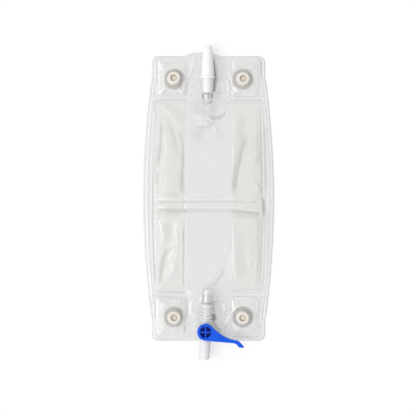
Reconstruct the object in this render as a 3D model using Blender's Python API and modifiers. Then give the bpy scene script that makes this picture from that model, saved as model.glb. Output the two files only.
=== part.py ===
"""Leg bag for urine drainage, lying on its back on a table.

Metres. X runs across the bag, Y from the drain up to the inlet, and Z out of the front sheet.
The origin is under the middle of the whole bag, on the surface that it lies on.
Stations are measured along Y from the lower edge of the film.
"""

import math

import bmesh
import bpy
from mathutils import Matrix, Vector

# Film
FILM_THICKNESS = 0.0004
SEAT_GAP = 0.0003
FILM_LENGTH = 0.284
END_HALF_WIDTH = 0.0563
SIDE_SWELL = 0.0089
SIDE_SWELL_POWER = 0.8
SHOULDER_LENGTH = 0.0205
CORNER_RADIUS = 0.006

# Raised tab in the top edge, behind the inlet
TAB_RISE = 0.0037
TAB_CENTRE_X = -0.0065
TAB_FLAT = 0.006
TAB_REACH = 0.021

# Welds
EDGE_WELD = 0.0035
SEAM_INSET = 0.0055
SEAM_SWELL = 0.0044
CROSS_WELD = 0.006

# Relief of the front sheet
POCKET_RISE = 0.0014
POCKET_SLOPE = 0.003
PILLOW_RISE = 0.0036
PILLOW_SLOPE = 0.012
SIDE_CREASE_X = 0.0238
SIDE_CREASE_DEPTH = 0.0009
CREASE_REACH = 0.005
MIDDLE_FOLD_STATION = 0.1342
MIDDLE_FOLD_WIDTH = 0.009
MIDDLE_FOLD_DEPTH = 0.0016
MOUTH_FALL = 0.0026
STEEPEST = 2.0

# The front sheet over a stub, as shares of the arch's radius or of the axis height
ARCH_MIDDLE_SHARE = 0.52
ARCH_SHOULDER_SHARE = 0.9
ARCH_FOOT_SHARE = 1.9
ARCH_REACH_SHARE = 2.2
ARCH_SLEEVE_SHARE = 1 / 3

# Grid of the front sheet
ROW_PITCH = 0.021
COLUMN_PITCH = 0.016
LEAST_PITCH = 0.0006
PILLOW_ROW = 0.006
PILLOW_OUTER_ROW = 0.002
PILLOW_INNER_ROW = 0.013
FOLD_ROW = 0.0045
NECK_ROW = 0.0065
SEAM_COLUMN = 0.0065
SEAM_NEAR_COLUMN = 0.0028
FLANGE_COLUMN_SHARE = 0.6
TOP_EDGE_POINTS = 20

# Strap buttons
BUTTON_BASE_RADIUS = 0.0103
BUTTON_BASE_THICKNESS = 0.0009
BUTTON_COLLAR_STEP = 0.0005
BUTTON_FILM_CLEARANCE = 0.0006
BUTTON_SIDE_MARGIN = 0.0063
BUTTON_INNER_MARGIN = 0.0034
BUTTON_LOW_MARGIN = 0.0079
BUTTON_HIGH_MARGIN = 0.0092
BUTTON_LOWER_RIM_RADIUS = 0.0067
BUTTON_UPPER_RIM_RADIUS = 0.0069
BUTTON_NECK_RADIUS = 0.0047
BUTTON_RIM_THICKNESS = 0.0011
BUTTON_GROOVE = 0.0022
BUTTON_CROWN = 0.0016
BUTTON_EDGE = 0.0005
BUTTON_HOLE_RADIUS = 0.0031
BUTTON_HOLE_FLOOR = 0.0010
BUTTON_LEANS = {
    "top_left": (8.0, 135.0),
    "top_right": (0.0, 0.0),
    "bottom_left": (0.0, 0.0),
    "bottom_right": (7.0, 205.0),
}

# Inlet
INLET_X = -0.0008
INLET_STUB_WALL = 0.0014
INLET_STUB_INSIDE = 0.0105
INLET_MOUTH_DEPTH = 0.0019
BARREL_RADIUS = 0.00505
BARREL_LENGTH = 0.0158
BARREL_ROUNDING = 0.0028
BARREL_SINK_SHARE = 0.8
BARREL_WALL = 0.00065
SOCKET_DEPTH = 0.0105
CONE_BASE_RADIUS = 0.0041
CONE_TIP_RADIUS = 0.0029
CONE_WALL = 0.0008
CONE_END_CLEARANCE = 0.0031
CONE_STEPS = 2
CONE_STEP = 0.0003

# Inlet cap
CAP_LENGTH = 0.0324
CAP_WALL = 0.00085
CAP_RIM_FLARE = 0.0007
CAP_RIM_HEIGHT = 0.0024
CAP_SKIRT_HEIGHT = 0.0134
CAP_SHOULDER_STEP = 0.0006
CAP_SHOULDER_HEIGHT = 0.0016
CAP_TIP_WALL = 0.0009
CAP_TIP_ROUNDING = 0.0011
CAP_LAP = 0.0022
CAP_FLOOR = 0.0016
CAP_LIFT = 0.0004

# Anti-reflux valve, a flat sleeve of film hanging from the inlet stub
REFLUX_WALL = 0.0003
REFLUX_LAP = 0.0045
REFLUX_LENGTH = 0.034
REFLUX_FLATTEN = 0.0165
REFLUX_HALF_WIDTH = 0.0068
REFLUX_HALF_GAP = 0.0005
REFLUX_SWERVE = 0.011
REFLUX_SWERVE_SHARE = 0.35
REFLUX_REST_Z = 0.0021
REFLUX_SECTIONS = 8
REFLUX_SIDES = 14

# Outlet
OUTLET_X = -0.0008
OUTLET_LEAN_DEG = 2.8
OUTLET_STUB_WALL = 0.0012
OUTLET_STUB_INSIDE = 0.0129
OUTLET_MOUTH_DEPTH = 0.0049
OUTLET_SOCKET_LAP = 0.012

# Drain valve body
COUPLING_RADIUS = 0.0056
COUPLING_WALL = 0.0007
COUPLING_LENGTH = 0.0190
COUPLING_RIBS = 4
COUPLING_FIRST_RIB_SHARE = 0.31
COUPLING_RIB_PITCH_SHARE = 0.176
COUPLING_RIB_RISE = 0.00045
COUPLING_RIB_HALF = 0.0008
MOUTH_GAP = 0.0012
FLOW_BORE = 0.0026
HOUSING_WALL = 0.00105
SPIGOT_LENGTH = 0.0150
SPIGOT_BARB = 0.0003
SPIGOT_BARB_LENGTH = 0.0009
SPIGOT_ROOT_SHARE = 0.8
SPIGOT_ROOT_STEP = 0.0004

# Drain nozzle, a soft sleeve on the spigot
NOZZLE_RADIUS = 0.00545
NOZZLE_WALL = 0.00085
NOZZLE_TAPER = 0.00045
NOZZLE_TIP_ROUNDING = 0.0010
NOZZLE_END = 0.0276
NOZZLE_SHOULDER = 0.0010

# Drain lever with its plug
PLUG_CLEARANCE = 0.00015
PLUG_WALL = 0.0008
PLUG_PORT_COVER = 0.0008
PLUG_LIP_RISE = 0.0005
PLUG_LIP_THICKNESS = 0.0007
LEVER_FILM_CLEARANCE = 0.0004
LEVER_SWEEP_CLEARANCE = 0.0003
LEVER_HEAD_RADIUS = 0.0083
LEVER_HEAD_OVERHANG = 0.0006
LEVER_THICKNESS = 0.0032
LEVER_EDGE = 0.0005
LEVER_RIB_THICKNESS = 0.0014
LEVER_RIB_DEPTH = 0.0010
LEVER_ARM_LENGTH = 0.0316
LEVER_ARM_DROP = 0.0095
LEVER_NECK_WIDTH = 0.0033
LEVER_WAIST_SHARE = 0.42
LEVER_WAIST_LEAVE_DEG = 38.0
LEVER_NECK_SLOPE = 0.16
LEVER_UNDER_LEAVE_DEG = -80.0
LEVER_UNDER_SHARE = 0.3
LEVER_UNDER_DROP = 1.1
LEVER_UNDER_NECK_SHARE = 0.4
LEVER_UNDER_NECK_RISE = 0.05
LEVER_TIP_LENGTH = 0.0078
LEVER_TIP_WIDTH = 0.0042
LEVER_TIP_TURN_DEG = 40.0
LEVER_TIP_CORNER_SHARE = 0.22
LEVER_HEEL_SHARE = 0.28
LEVER_HEEL_OUT = 0.1
LEVER_HEEL_DOWN = 0.12

# Facets
ROUND = 24
FINE_ROUND = 32
BORE_ROUND = 20
BUTTON_ROUND = 18
LEVER_WAIST_STEPS = 10
LEVER_UNDER_STEPS = 8
LEVER_HEAD_STEPS = 18
CAVITY_STEPS = 8
MERGE = 0.00001
FILM_SHARP_DEG = 50.0
SLEEVE_SHARP_DEG = 60.0

# Radii worked out from the sizes above, from the outer piece in to what it holds
BUTTON_COLLAR_RADIUS = BUTTON_NECK_RADIUS - BUTTON_COLLAR_STEP
INLET_STUB_RADIUS = BARREL_RADIUS - BARREL_WALL - SEAT_GAP
INLET_STUB_BORE = INLET_STUB_RADIUS - INLET_STUB_WALL
CONNECTOR_BORE = CONE_TIP_RADIUS - CONE_WALL
CONE_LENGTH = CAP_LENGTH - CAP_FLOOR - CONE_END_CLEARANCE - CAP_LAP
CAP_SKIRT_RADIUS = BARREL_RADIUS + SEAT_GAP + CAP_WALL
CAP_RIM_RADIUS = CAP_SKIRT_RADIUS + CAP_RIM_FLARE
CAP_NECK_RADIUS = CAP_SKIRT_RADIUS - CAP_SHOULDER_STEP
CAP_TIP_RADIUS = CONE_TIP_RADIUS + CONE_STEP + SEAT_GAP + CAP_TIP_WALL
OUTLET_STUB_RADIUS = COUPLING_RADIUS - COUPLING_WALL - SEAT_GAP
OUTLET_STUB_BORE = OUTLET_STUB_RADIUS - OUTLET_STUB_WALL
HOUSING_RADIUS = LEVER_HEAD_RADIUS - LEVER_HEAD_OVERHANG
PLUG_RADIUS = HOUSING_RADIUS - HOUSING_WALL - PLUG_CLEARANCE
PLUG_CAVITY_RADIUS = PLUG_RADIUS - PLUG_WALL
NOZZLE_GRIP_RADIUS = NOZZLE_RADIUS - NOZZLE_WALL
NOZZLE_TIP_RADIUS = NOZZLE_RADIUS - NOZZLE_TAPER
NOZZLE_BORE = NOZZLE_GRIP_RADIUS - NOZZLE_SHOULDER
SPIGOT_RADIUS = NOZZLE_GRIP_RADIUS - SEAT_GAP - SPIGOT_BARB

# Film stack and heights worked out from the sizes above
BACK_TOP = FILM_THICKNESS
FRONT_TOP = 2 * FILM_THICKNESS + SEAT_GAP
PORT_AXIS_Z = FRONT_TOP + CAP_LIFT + CAP_RIM_RADIUS
BASE_TOP = BACK_TOP + SEAT_GAP + BUTTON_BASE_THICKNESS
LIP_Z = FRONT_TOP + LEVER_FILM_CLEARANCE
HOUSING_Z = LIP_Z + PLUG_LIP_THICKNESS + SEAT_GAP
LEVER_Z = PORT_AXIS_Z + NOZZLE_RADIUS + LEVER_SWEEP_CLEARANCE
HOUSING_HEIGHT = LEVER_Z - SEAT_GAP - HOUSING_Z

# Stations and places worked out from the sizes above
BUTTON_X = END_HALF_WIDTH - SEAM_INSET - BUTTON_SIDE_MARGIN - BUTTON_BASE_RADIUS
POCKET_INNER_X = BUTTON_X - BUTTON_BASE_RADIUS - BUTTON_INNER_MARGIN
LOW_BUTTON_STATION = SEAM_INSET + BUTTON_LOW_MARGIN + BUTTON_BASE_RADIUS
LOW_WELD_STATION = LOW_BUTTON_STATION + BUTTON_BASE_RADIUS + BUTTON_HIGH_MARGIN
HIGH_BUTTON_STATION = FILM_LENGTH - EDGE_WELD - BUTTON_HIGH_MARGIN - BUTTON_BASE_RADIUS
HIGH_WELD_STATION = HIGH_BUTTON_STATION - BUTTON_BASE_RADIUS - BUTTON_INNER_MARGIN - EDGE_WELD
CHAMBER_LOW = LOW_WELD_STATION + CROSS_WELD
CHAMBER_HIGH = HIGH_WELD_STATION - CROSS_WELD
INLET_MOUTH = HIGH_WELD_STATION + INLET_MOUTH_DEPTH
OUTLET_MOUTH = LOW_WELD_STATION - OUTLET_MOUTH_DEPTH
OUTLET_LEAN = math.radians(OUTLET_LEAN_DEG)
BARREL_START = INLET_MOUTH + MOUTH_GAP
CAP_START = BARREL_START + BARREL_LENGTH - CAP_LAP
CAP_TIP_STATION = CAP_START + CAP_LENGTH
DRAIN_REACH = MOUTH_GAP + COUPLING_LENGTH + HOUSING_RADIUS
OUTLET_TURN = OUTLET_MOUTH + OUTLET_STUB_INSIDE
DRAIN_STATION = OUTLET_TURN - (OUTLET_STUB_INSIDE + DRAIN_REACH) * math.cos(OUTLET_LEAN)
NOZZLE_TIP_STATION = (
    DRAIN_STATION
    - NOZZLE_END * math.cos(OUTLET_LEAN)
    - (NOZZLE_TIP_RADIUS - NOZZLE_TIP_ROUNDING) * math.sin(OUTLET_LEAN)
)
MIDDLE_STATION = (CAP_TIP_STATION + NOZZLE_TIP_STATION) / 2

COLOURS = {
    "clear_film": ((0.80, 0.80, 0.79), 0.18),
    "clear_tube": ((0.82, 0.82, 0.80), 0.15),
    "white_plastic": ((0.88, 0.88, 0.88), 0.35),
    "milky_plastic": ((0.80, 0.81, 0.83), 0.30),
    "cream_plastic": ((0.82, 0.76, 0.68), 0.40),
    "blue_plastic": ((0.02, 0.12, 0.78), 0.35),
}


def clear_scene():
    for obj in list(bpy.data.objects):
        bpy.data.objects.remove(obj, do_unlink=True)


def new_collection(name):
    collection = bpy.data.collections.new(name)
    bpy.context.scene.collection.children.link(collection)
    return collection


def plastic(name):
    colour, roughness = COLOURS[name]
    material = bpy.data.materials.new(name)
    material.use_nodes = True
    shader = material.node_tree.nodes["Principled BSDF"]
    shader.inputs["Base Color"].default_value = (*colour, 1.0)
    shader.inputs["Roughness"].default_value = roughness
    shader.inputs["Metallic"].default_value = 0.0
    return material


def smooth_step(low, high, value):
    share = min(1.0, max(0.0, (value - low) / (high - low)))
    return share * share * (3 - 2 * share)


def world_y(station):
    return station - MIDDLE_STATION


# Outline of the bag
def swell_share(station):
    """0 by the corners of the film and 1 at the widest place, half way along the sides."""
    along = (station - SHOULDER_LENGTH) / (FILM_LENGTH - 2 * SHOULDER_LENGTH)
    along = min(1.0, max(0.0, along))
    return math.sin(math.pi * along) ** SIDE_SWELL_POWER


def corner_cut(station):
    """How far the rounded corners bring the edge of the film in at a station."""
    inside = CORNER_RADIUS - min(station, FILM_LENGTH - station)
    if inside <= 0:
        return 0.0
    return CORNER_RADIUS - math.sqrt(max(0.0, CORNER_RADIUS**2 - inside**2))


def half_width(station):
    """Half of the film's width at a station, with its rounded corners."""
    return END_HALF_WIDTH + SIDE_SWELL * swell_share(station) - corner_cut(station)


def seam_half_width(station):
    """Half of the distance between the two long welds, which swell less than the film's edge."""
    return END_HALF_WIDTH - SEAM_INSET + SEAM_SWELL * swell_share(station)


def tab_rise(x):
    """How far the top edge stands above its straight line."""
    return TAB_RISE * (1 - smooth_step(TAB_FLAT, TAB_REACH, abs(x - TAB_CENTRE_X)))


# Relief of the front sheet
def port_x(station):
    """Where the axis of the inlet or the leaning outlet is at a station."""
    if station > MIDDLE_STATION:
        return INLET_X
    return OUTLET_X - max(0.0, OUTLET_TURN - station) * math.tan(OUTLET_LEAN)


def arch_share(station):
    """1 where the sheet lies over a stub, falling to 0 in the chamber, and 0 outside the mouths."""
    beside_outlet = station < OUTLET_MOUTH + MOUTH_FALL / 2 - MERGE
    beside_inlet = station > INLET_MOUTH - MOUTH_FALL / 2 + MERGE
    if beside_outlet or beside_inlet:
        return 0.0
    reach = ARCH_REACH_SHARE * PORT_AXIS_Z
    sleeve_end = INLET_MOUTH - INLET_STUB_INSIDE
    low = 1 - smooth_step(OUTLET_TURN, OUTLET_TURN + reach, station)
    high = smooth_step(sleeve_end - reach, sleeve_end - REFLUX_LAP * ARCH_SLEEVE_SHARE, station)
    return max(low, high)


def arch_radius(station):
    stub = INLET_STUB_RADIUS if station > MIDDLE_STATION else OUTLET_STUB_RADIUS
    return stub + REFLUX_WALL + 2 * SEAT_GAP + FILM_THICKNESS


def arch_foot(station):
    return ARCH_FOOT_SHARE * arch_radius(station)


def arch_height(x, station):
    """Height of the sheet where it is wrapped over a stub: an arc, then a straight side down to its foot."""
    radius = arch_radius(station)
    foot = arch_foot(station)
    shoulder = ARCH_SHOULDER_SHARE * radius
    away = abs(x - port_x(station))
    if away <= shoulder:
        return PORT_AXIS_Z + math.sqrt(radius**2 - away**2)
    top = PORT_AXIS_Z + math.sqrt(radius**2 - shoulder**2)
    return FRONT_TOP + (top - FRONT_TOP) * max(0.0, (foot - away) / (foot - shoulder))


def chamber_height(x, station):
    """The pillow of the chamber, with two lengthwise creases and the fold across its middle."""
    inside = min(
        seam_half_width(station) - abs(x),
        station - CHAMBER_LOW,
        CHAMBER_HIGH - station,
    )
    if inside <= 0:
        return FRONT_TOP
    full = math.sin(math.pi / 2 * min(1.0, inside / PILLOW_SLOPE))
    crease = SIDE_CREASE_DEPTH * (1 - smooth_step(0, CREASE_REACH, abs(abs(x) - SIDE_CREASE_X)))
    from_fold = abs(station - MIDDLE_FOLD_STATION)
    edge = MIDDLE_FOLD_WIDTH / 2
    fold = MIDDLE_FOLD_DEPTH * (1 - smooth_step(0, edge, abs(from_fold - edge)))
    return FRONT_TOP + full * (PILLOW_RISE - crease - fold)


def pocket_height(x, station):
    """The low quilted pocket round each strap button."""
    if station < MIDDLE_STATION:
        ends = min(station - SEAM_INSET, LOW_WELD_STATION - station)
    else:
        ends = min(station - HIGH_WELD_STATION, FILM_LENGTH - EDGE_WELD - station)
    inside = min(seam_half_width(station) - abs(x), abs(x) - POCKET_INNER_X, ends)
    return FRONT_TOP + POCKET_RISE * smooth_step(0, POCKET_SLOPE, inside)


def front_height(x, station):
    """Height of the front sheet's outer face."""
    height = max(chamber_height(x, station), pocket_height(x, station))
    share = arch_share(station)
    return height + share * max(0.0, arch_height(x, station) - height)


def filled(keys, pitch):
    """Key places in order, with even places added where two of them are further apart than pitch."""
    places = []
    for key in sorted(keys):
        if places and key - places[-1] < LEAST_PITCH:
            continue
        if places:
            steps = max(1, math.ceil((key - places[-1]) / pitch - 1e-6))
            start = places[-1]
            places += [start + (key - start) * n / steps for n in range(1, steps)]
        places.append(key)
    return places


def row_stations():
    corner = [CORNER_RADIUS * (1 - math.sin(math.radians(turn))) for turn in (90, 60, 30)]
    keys = corner + [FILM_LENGTH - place for place in corner]
    keys += [SEAM_INSET, SEAM_INSET + POCKET_SLOPE, LOW_BUTTON_STATION]
    keys += [OUTLET_MOUTH - MOUTH_FALL / 2, OUTLET_MOUTH + MOUTH_FALL / 2]
    keys += [LOW_WELD_STATION, CHAMBER_LOW, CHAMBER_LOW + PILLOW_ROW]
    fold_low = MIDDLE_FOLD_STATION - MIDDLE_FOLD_WIDTH / 2
    fold_high = MIDDLE_FOLD_STATION + MIDDLE_FOLD_WIDTH / 2
    keys += [fold_low - FOLD_ROW, fold_low, MIDDLE_FOLD_STATION, fold_high, fold_high + FOLD_ROW]
    keys += [CHAMBER_HIGH - PILLOW_INNER_ROW, CHAMBER_HIGH - PILLOW_ROW]
    keys += [CHAMBER_HIGH - PILLOW_OUTER_ROW, CHAMBER_HIGH]
    keys += [INLET_MOUTH - MOUTH_FALL / 2, INLET_MOUTH + MOUTH_FALL / 2]
    keys += [HIGH_WELD_STATION + NECK_ROW, HIGH_BUTTON_STATION]
    keys += [FILM_LENGTH - EDGE_WELD - POCKET_SLOPE, FILM_LENGTH - EDGE_WELD]
    return filled(keys, ROW_PITCH)


def column_places(station):
    """Places across half a row, from the port's axis to the edge of the film."""
    radius = INLET_STUB_RADIUS + REFLUX_WALL + 2 * SEAT_GAP + FILM_THICKNESS
    inner = [share * radius for share in (0.0, ARCH_MIDDLE_SHARE, ARCH_SHOULDER_SHARE, ARCH_FOOT_SHARE)]
    side = [POCKET_INNER_X, POCKET_INNER_X + POCKET_SLOPE, SIDE_CREASE_X + CREASE_REACH]
    seam = seam_half_width(station)
    edge = half_width(station)
    uncut_edge = edge + corner_cut(station)
    flange = seam + (uncut_edge - seam) * FLANGE_COLUMN_SHARE
    squeeze = edge / uncut_edge
    outer = [place * squeeze for place in (seam - SEAM_COLUMN, seam - SEAM_NEAR_COLUMN, seam, flange)]
    steps = math.ceil((seam_half_width(0) - SEAM_COLUMN - side[-1]) / COLUMN_PITCH)
    between = [side[-1] + (outer[0] - side[-1]) * n / steps for n in range(1, steps)]
    return inner + side + between + outer + [edge]


def shifted(x, station):
    """Moves the inner places over with the port's axis, fading out by the pocket's edge."""
    keep = 1 - smooth_step(arch_foot(station), POCKET_INNER_X, abs(x))
    return x + keep * port_x(station)


def link(obj, collection, material=None):
    collection.objects.link(obj)
    if material is not None:
        obj.data.materials.append(material)
    return obj


def shade(mesh, angle=35.0):
    mesh.shade_smooth()
    mesh.set_sharp_from_angle(angle=math.radians(angle))


def add_boolean(obj, other, operation):
    modifier = obj.modifiers.new(f"{operation.lower()}_{other.name}", "BOOLEAN")
    modifier.operation = operation
    modifier.object = other
    modifier.solver = "EXACT"
    return modifier


def helper(obj, parent=None):
    obj.hide_render = True
    obj.display_type = "WIRE"
    if parent is not None:
        obj.parent = parent
    return obj


def cylinder(name, radius, length, collection, segments=ROUND, material=None):
    """A cylinder along its own Z, from 0 up to its length."""
    mesh = bpy.data.meshes.new(name)
    work = bmesh.new()
    bmesh.ops.create_cone(
        work,
        cap_ends=True,
        segments=segments,
        radius1=radius,
        radius2=radius,
        depth=length,
        matrix=Matrix.Translation((0, 0, length / 2)),
    )
    work.to_mesh(mesh)
    work.free()
    shade(mesh)
    return link(bpy.data.objects.new(name, mesh), collection, material)


def turned(name, profile, collection, material=None, segments=ROUND, ring=False):
    """A solid turned about its own Z. The profile lists (radius, height) down its outer side."""
    mesh = bpy.data.meshes.new(name)
    points = [(radius, 0.0, height) for radius, height in profile]
    edges = [(n, n + 1) for n in range(len(points) - 1)]
    if ring:
        edges.append((len(points) - 1, 0))
    mesh.from_pydata(points, edges, [])
    obj = link(bpy.data.objects.new(name, mesh), collection, material)
    screw = obj.modifiers.new("turn", "SCREW")
    screw.steps = screw.render_steps = segments
    screw.use_merge_vertices = True
    screw.merge_threshold = MERGE
    screw.use_smooth_shade = True
    return obj


def arc(centre_radius, centre_height, radius, start_deg, end_deg, steps=2):
    """Points of a round edge in a turned profile, by angle from the outward direction."""
    found = []
    for n in range(steps + 1):
        turn = math.radians(start_deg + (end_deg - start_deg) * n / steps)
        found.append((centre_radius + radius * math.cos(turn), centre_height + radius * math.sin(turn)))
    return found


# Sheets
def film_face():
    """The front sheet's outer face: a grid over the bag's outline, lifted to the sheet's relief."""
    stations = row_stations()
    half = len(column_places(MIDDLE_FOLD_STATION))
    columns = 2 * half - 1
    work = bmesh.new()
    bmesh.ops.create_grid(work, x_segments=columns - 1, y_segments=len(stations) - 1, size=0.5)
    for vertex in work.verts:
        column = round((vertex.co.x + 0.5) * (columns - 1))
        row = round((vertex.co.y + 0.5) * (len(stations) - 1))
        station = stations[row]
        place = column - half + 1
        x = shifted(math.copysign(column_places(station)[abs(place)], place), station)
        lift = smooth_step(FILM_LENGTH - BUTTON_HIGH_MARGIN, FILM_LENGTH, station)
        vertex.co = (x, world_y(station) + lift * tab_rise(x), front_height(x, station))
    bmesh.ops.triangulate(work, faces=work.faces)
    return work


def film_mesh(name):
    """The outer face with a matching inner one straight below it, further down where the film is steep."""
    work = film_face()
    drop = work.verts.layers.float.new("drop")
    work.normal_update()
    for vertex in work.verts:
        vertex[drop] = FILM_THICKNESS / max(vertex.normal.z, 1 / STEEPEST)
    made = bmesh.ops.extrude_face_region(work, geom=work.faces[:])
    for inner in made["geom"]:
        if isinstance(inner, bmesh.types.BMVert):
            inner.co.z -= inner[drop]
    bmesh.ops.recalc_face_normals(work, faces=work.faces)
    mesh = bpy.data.meshes.new(name)
    work.to_mesh(mesh)
    work.free()
    shade(mesh, FILM_SHARP_DEG)
    return mesh


def back_sheet(collection, material):
    """The flat rear film: the bag's outline as a filled flat curve, half its thickness to each side."""
    edge = row_stations()
    right = [(half_width(s), world_y(s)) for s in edge]
    top = []
    across = half_width(FILM_LENGTH)
    for n in range(1, TOP_EDGE_POINTS):
        x = across * (1 - 2 * n / TOP_EDGE_POINTS)
        top.append((x, world_y(FILM_LENGTH) + tab_rise(x)))
    left = [(-x, y) for x, y in reversed(right)]
    points = right + top + left
    curve = bpy.data.curves.new("back_sheet", "CURVE")
    curve.dimensions = "2D"
    curve.fill_mode = "BOTH"
    curve.extrude = FILM_THICKNESS / 2
    spline = curve.splines.new("POLY")
    spline.points.add(len(points) - 1)
    for point, (x, y) in zip(spline.points, points):
        point.co = (x, y, 0.0, 1.0)
    spline.use_cyclic_u = True
    obj = link(bpy.data.objects.new("back_sheet", curve), collection, material)
    obj.location.z = FILM_THICKNESS / 2
    return obj


def mouth_cutter(name, radius, pivot, start, length, collection):
    """A rod along a port's axis that opens the sheet where the stub comes out of it."""
    obj = cylinder(name, radius + SEAT_GAP, length, collection, segments=ROUND)
    obj.rotation_euler = (-math.pi / 2, 0, 0)
    obj.location = (0, start, 0)
    return helper(obj, pivot)


def front_sheet(parts, helpers, pivots, material):
    obj = link(bpy.data.objects.new("front_sheet", film_mesh("front_sheet")), parts, material)
    inlet_cut = mouth_cutter(
        "inlet_mouth_cutter", INLET_STUB_RADIUS, pivots["inlet"], -MOUTH_FALL,
        2 * MOUTH_FALL, helpers,
    )
    outlet_cut = mouth_cutter(
        "outlet_mouth_cutter", OUTLET_STUB_RADIUS, pivots["outlet"],
        -OUTLET_STUB_INSIDE - MOUTH_FALL, 2 * MOUTH_FALL, helpers,
    )
    cutters = [inlet_cut, outlet_cut]
    for place, (x, y) in button_places().items():
        hole = cylinder(
            f"collar_hole_{place}", BUTTON_COLLAR_RADIUS + SEAT_GAP,
            FRONT_TOP + 2 * POCKET_RISE, helpers, segments=BUTTON_ROUND,
        )
        hole.location = (x, y, 0)
        cutters.append(helper(hole))
    for cutter in cutters:
        add_boolean(obj, cutter, "DIFFERENCE")
    return obj


# Strap buttons
def button_places():
    low, high = world_y(LOW_BUTTON_STATION), world_y(HIGH_BUTTON_STATION)
    return {
        "top_left": (-BUTTON_X, high),
        "top_right": (BUTTON_X, high),
        "bottom_left": (-BUTTON_X, low),
        "bottom_right": (BUTTON_X, low),
    }


def lean_matrix(place):
    """Turns a button over by its lean, towards the compass direction given with it."""
    lean, towards = BUTTON_LEANS[place]
    axis = Vector((-math.sin(math.radians(towards)), math.cos(math.radians(towards)), 0))
    return Matrix.Rotation(math.radians(lean), 4, axis)


def button_profile():
    """A spool: lower rim, groove for the strap, and a crowned upper rim, with a hole down its middle."""
    groove_low = BUTTON_RIM_THICKNESS
    groove_high = groove_low + BUTTON_GROOVE
    top = groove_high + BUTTON_CROWN
    edge = BUTTON_EDGE
    points = [(BUTTON_HOLE_RADIUS + edge, top)]
    points += arc(BUTTON_UPPER_RIM_RADIUS - edge, top - edge, edge, 90, 0, 1)
    points += [
        (BUTTON_UPPER_RIM_RADIUS, groove_high),
        (BUTTON_NECK_RADIUS, groove_high),
        (BUTTON_NECK_RADIUS, groove_low),
        (BUTTON_LOWER_RIM_RADIUS, groove_low),
        (BUTTON_LOWER_RIM_RADIUS, edge),
        (BUTTON_LOWER_RIM_RADIUS - edge, 0.0),
        (BUTTON_HOLE_RADIUS, 0.0),
        (BUTTON_HOLE_RADIUS, top - edge),
    ]
    return points


def spool_height(place):
    """Where the middle of a spool's underside is, so that its lowest edge clears the front sheet."""
    lean = math.radians(BUTTON_LEANS[place][0])
    return FRONT_TOP + POCKET_RISE + BUTTON_FILM_CLEARANCE + BUTTON_LOWER_RIM_RADIUS * math.sin(lean)


def strap_buttons(parts, helpers, material):
    """Each button is moulded in one: a base under the front sheet, a collar through it, and a spool."""
    middle_of_base = BASE_TOP - BUTTON_BASE_THICKNESS / 2
    for place, (x, y) in button_places().items():
        button = cylinder(
            f"strap_button_{place}", BUTTON_BASE_RADIUS, BUTTON_BASE_THICKNESS, parts,
            segments=BUTTON_ROUND, material=material,
        )
        button.location = (x, y, BACK_TOP + SEAT_GAP)
        spool_z = spool_height(place)
        collar = cylinder(
            f"button_collar_{place}", BUTTON_COLLAR_RADIUS,
            spool_z + BUTTON_HOLE_FLOOR - middle_of_base, helpers, segments=BUTTON_ROUND,
        )
        collar.location = (x, y, middle_of_base)
        spool = turned(f"button_spool_{place}", button_profile(), helpers, segments=BUTTON_ROUND, ring=True)
        spool.matrix_world = Matrix.Translation((x, y, spool_z)) @ lean_matrix(place)
        for joined in (collar, spool):
            add_boolean(button, helper(joined), "UNION")


# Inlet
def inlet_stub(parts, pivot, material):
    inner_end = -INLET_STUB_INSIDE
    outer_end = MOUTH_GAP + SOCKET_DEPTH - SEAT_GAP
    rounding = INLET_STUB_WALL / 3
    profile = [
        (INLET_STUB_BORE, outer_end),
        (INLET_STUB_RADIUS, outer_end),
        (INLET_STUB_RADIUS, inner_end + rounding),
        (INLET_STUB_RADIUS - rounding, inner_end),
        (INLET_STUB_BORE, inner_end),
    ]
    return lay_along_y(turned("inlet_stub", profile, parts, material, ring=True), pivot)


def lay_along_y(obj, pivot, start=0.0):
    """Turns a piece from its own Z to lie along the port's axis, at a distance from its pivot."""
    obj.parent = pivot
    obj.rotation_euler = (-math.pi / 2, 0, 0)
    obj.location = (0, start, 0)
    return obj


def cone_radius(share):
    return CONE_BASE_RADIUS + (CONE_TIP_RADIUS - CONE_BASE_RADIUS) * share


def inlet_connector(parts, pivot, material):
    """A barrel with a rounded end that takes the stub, and a barbed cone for the catheter."""
    cone_start = BARREL_LENGTH
    tip = cone_start + CONE_LENGTH
    outer = [(CONE_TIP_RADIUS - CONE_STEP, tip)]
    for step in reversed(range(CONE_STEPS)):
        low = cone_start + CONE_LENGTH * step / CONE_STEPS
        high = cone_start + CONE_LENGTH * (step + 1) / CONE_STEPS
        outer.append((cone_radius((step + 1) / CONE_STEPS), high - 2 * CONE_STEP))
        outer.append((cone_radius(step / CONE_STEPS) + CONE_STEP, low + 2 * CONE_STEP))
        outer.append((cone_radius(step / CONE_STEPS), low))
    outer[-1] = (CONE_BASE_RADIUS, cone_start)
    outer.append((BARREL_RADIUS, cone_start))
    inner_radius = INLET_STUB_RADIUS + SEAT_GAP
    sink = BARREL_WALL * BARREL_SINK_SHARE
    for n in range(4):
        turn = math.pi / 2 * n / 3
        outer.append(
            (BARREL_RADIUS - sink * (1 - math.cos(turn)), BARREL_ROUNDING * (1 - math.sin(turn)))
        )
    profile = [(CONNECTOR_BORE, tip)] + outer + [
        (inner_radius, 0.0),
        (inner_radius, SOCKET_DEPTH),
        (CONNECTOR_BORE, SOCKET_DEPTH),
    ]
    obj = turned("inlet_connector", profile, parts, material, ring=True)
    return lay_along_y(obj, pivot, MOUTH_GAP)


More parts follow.
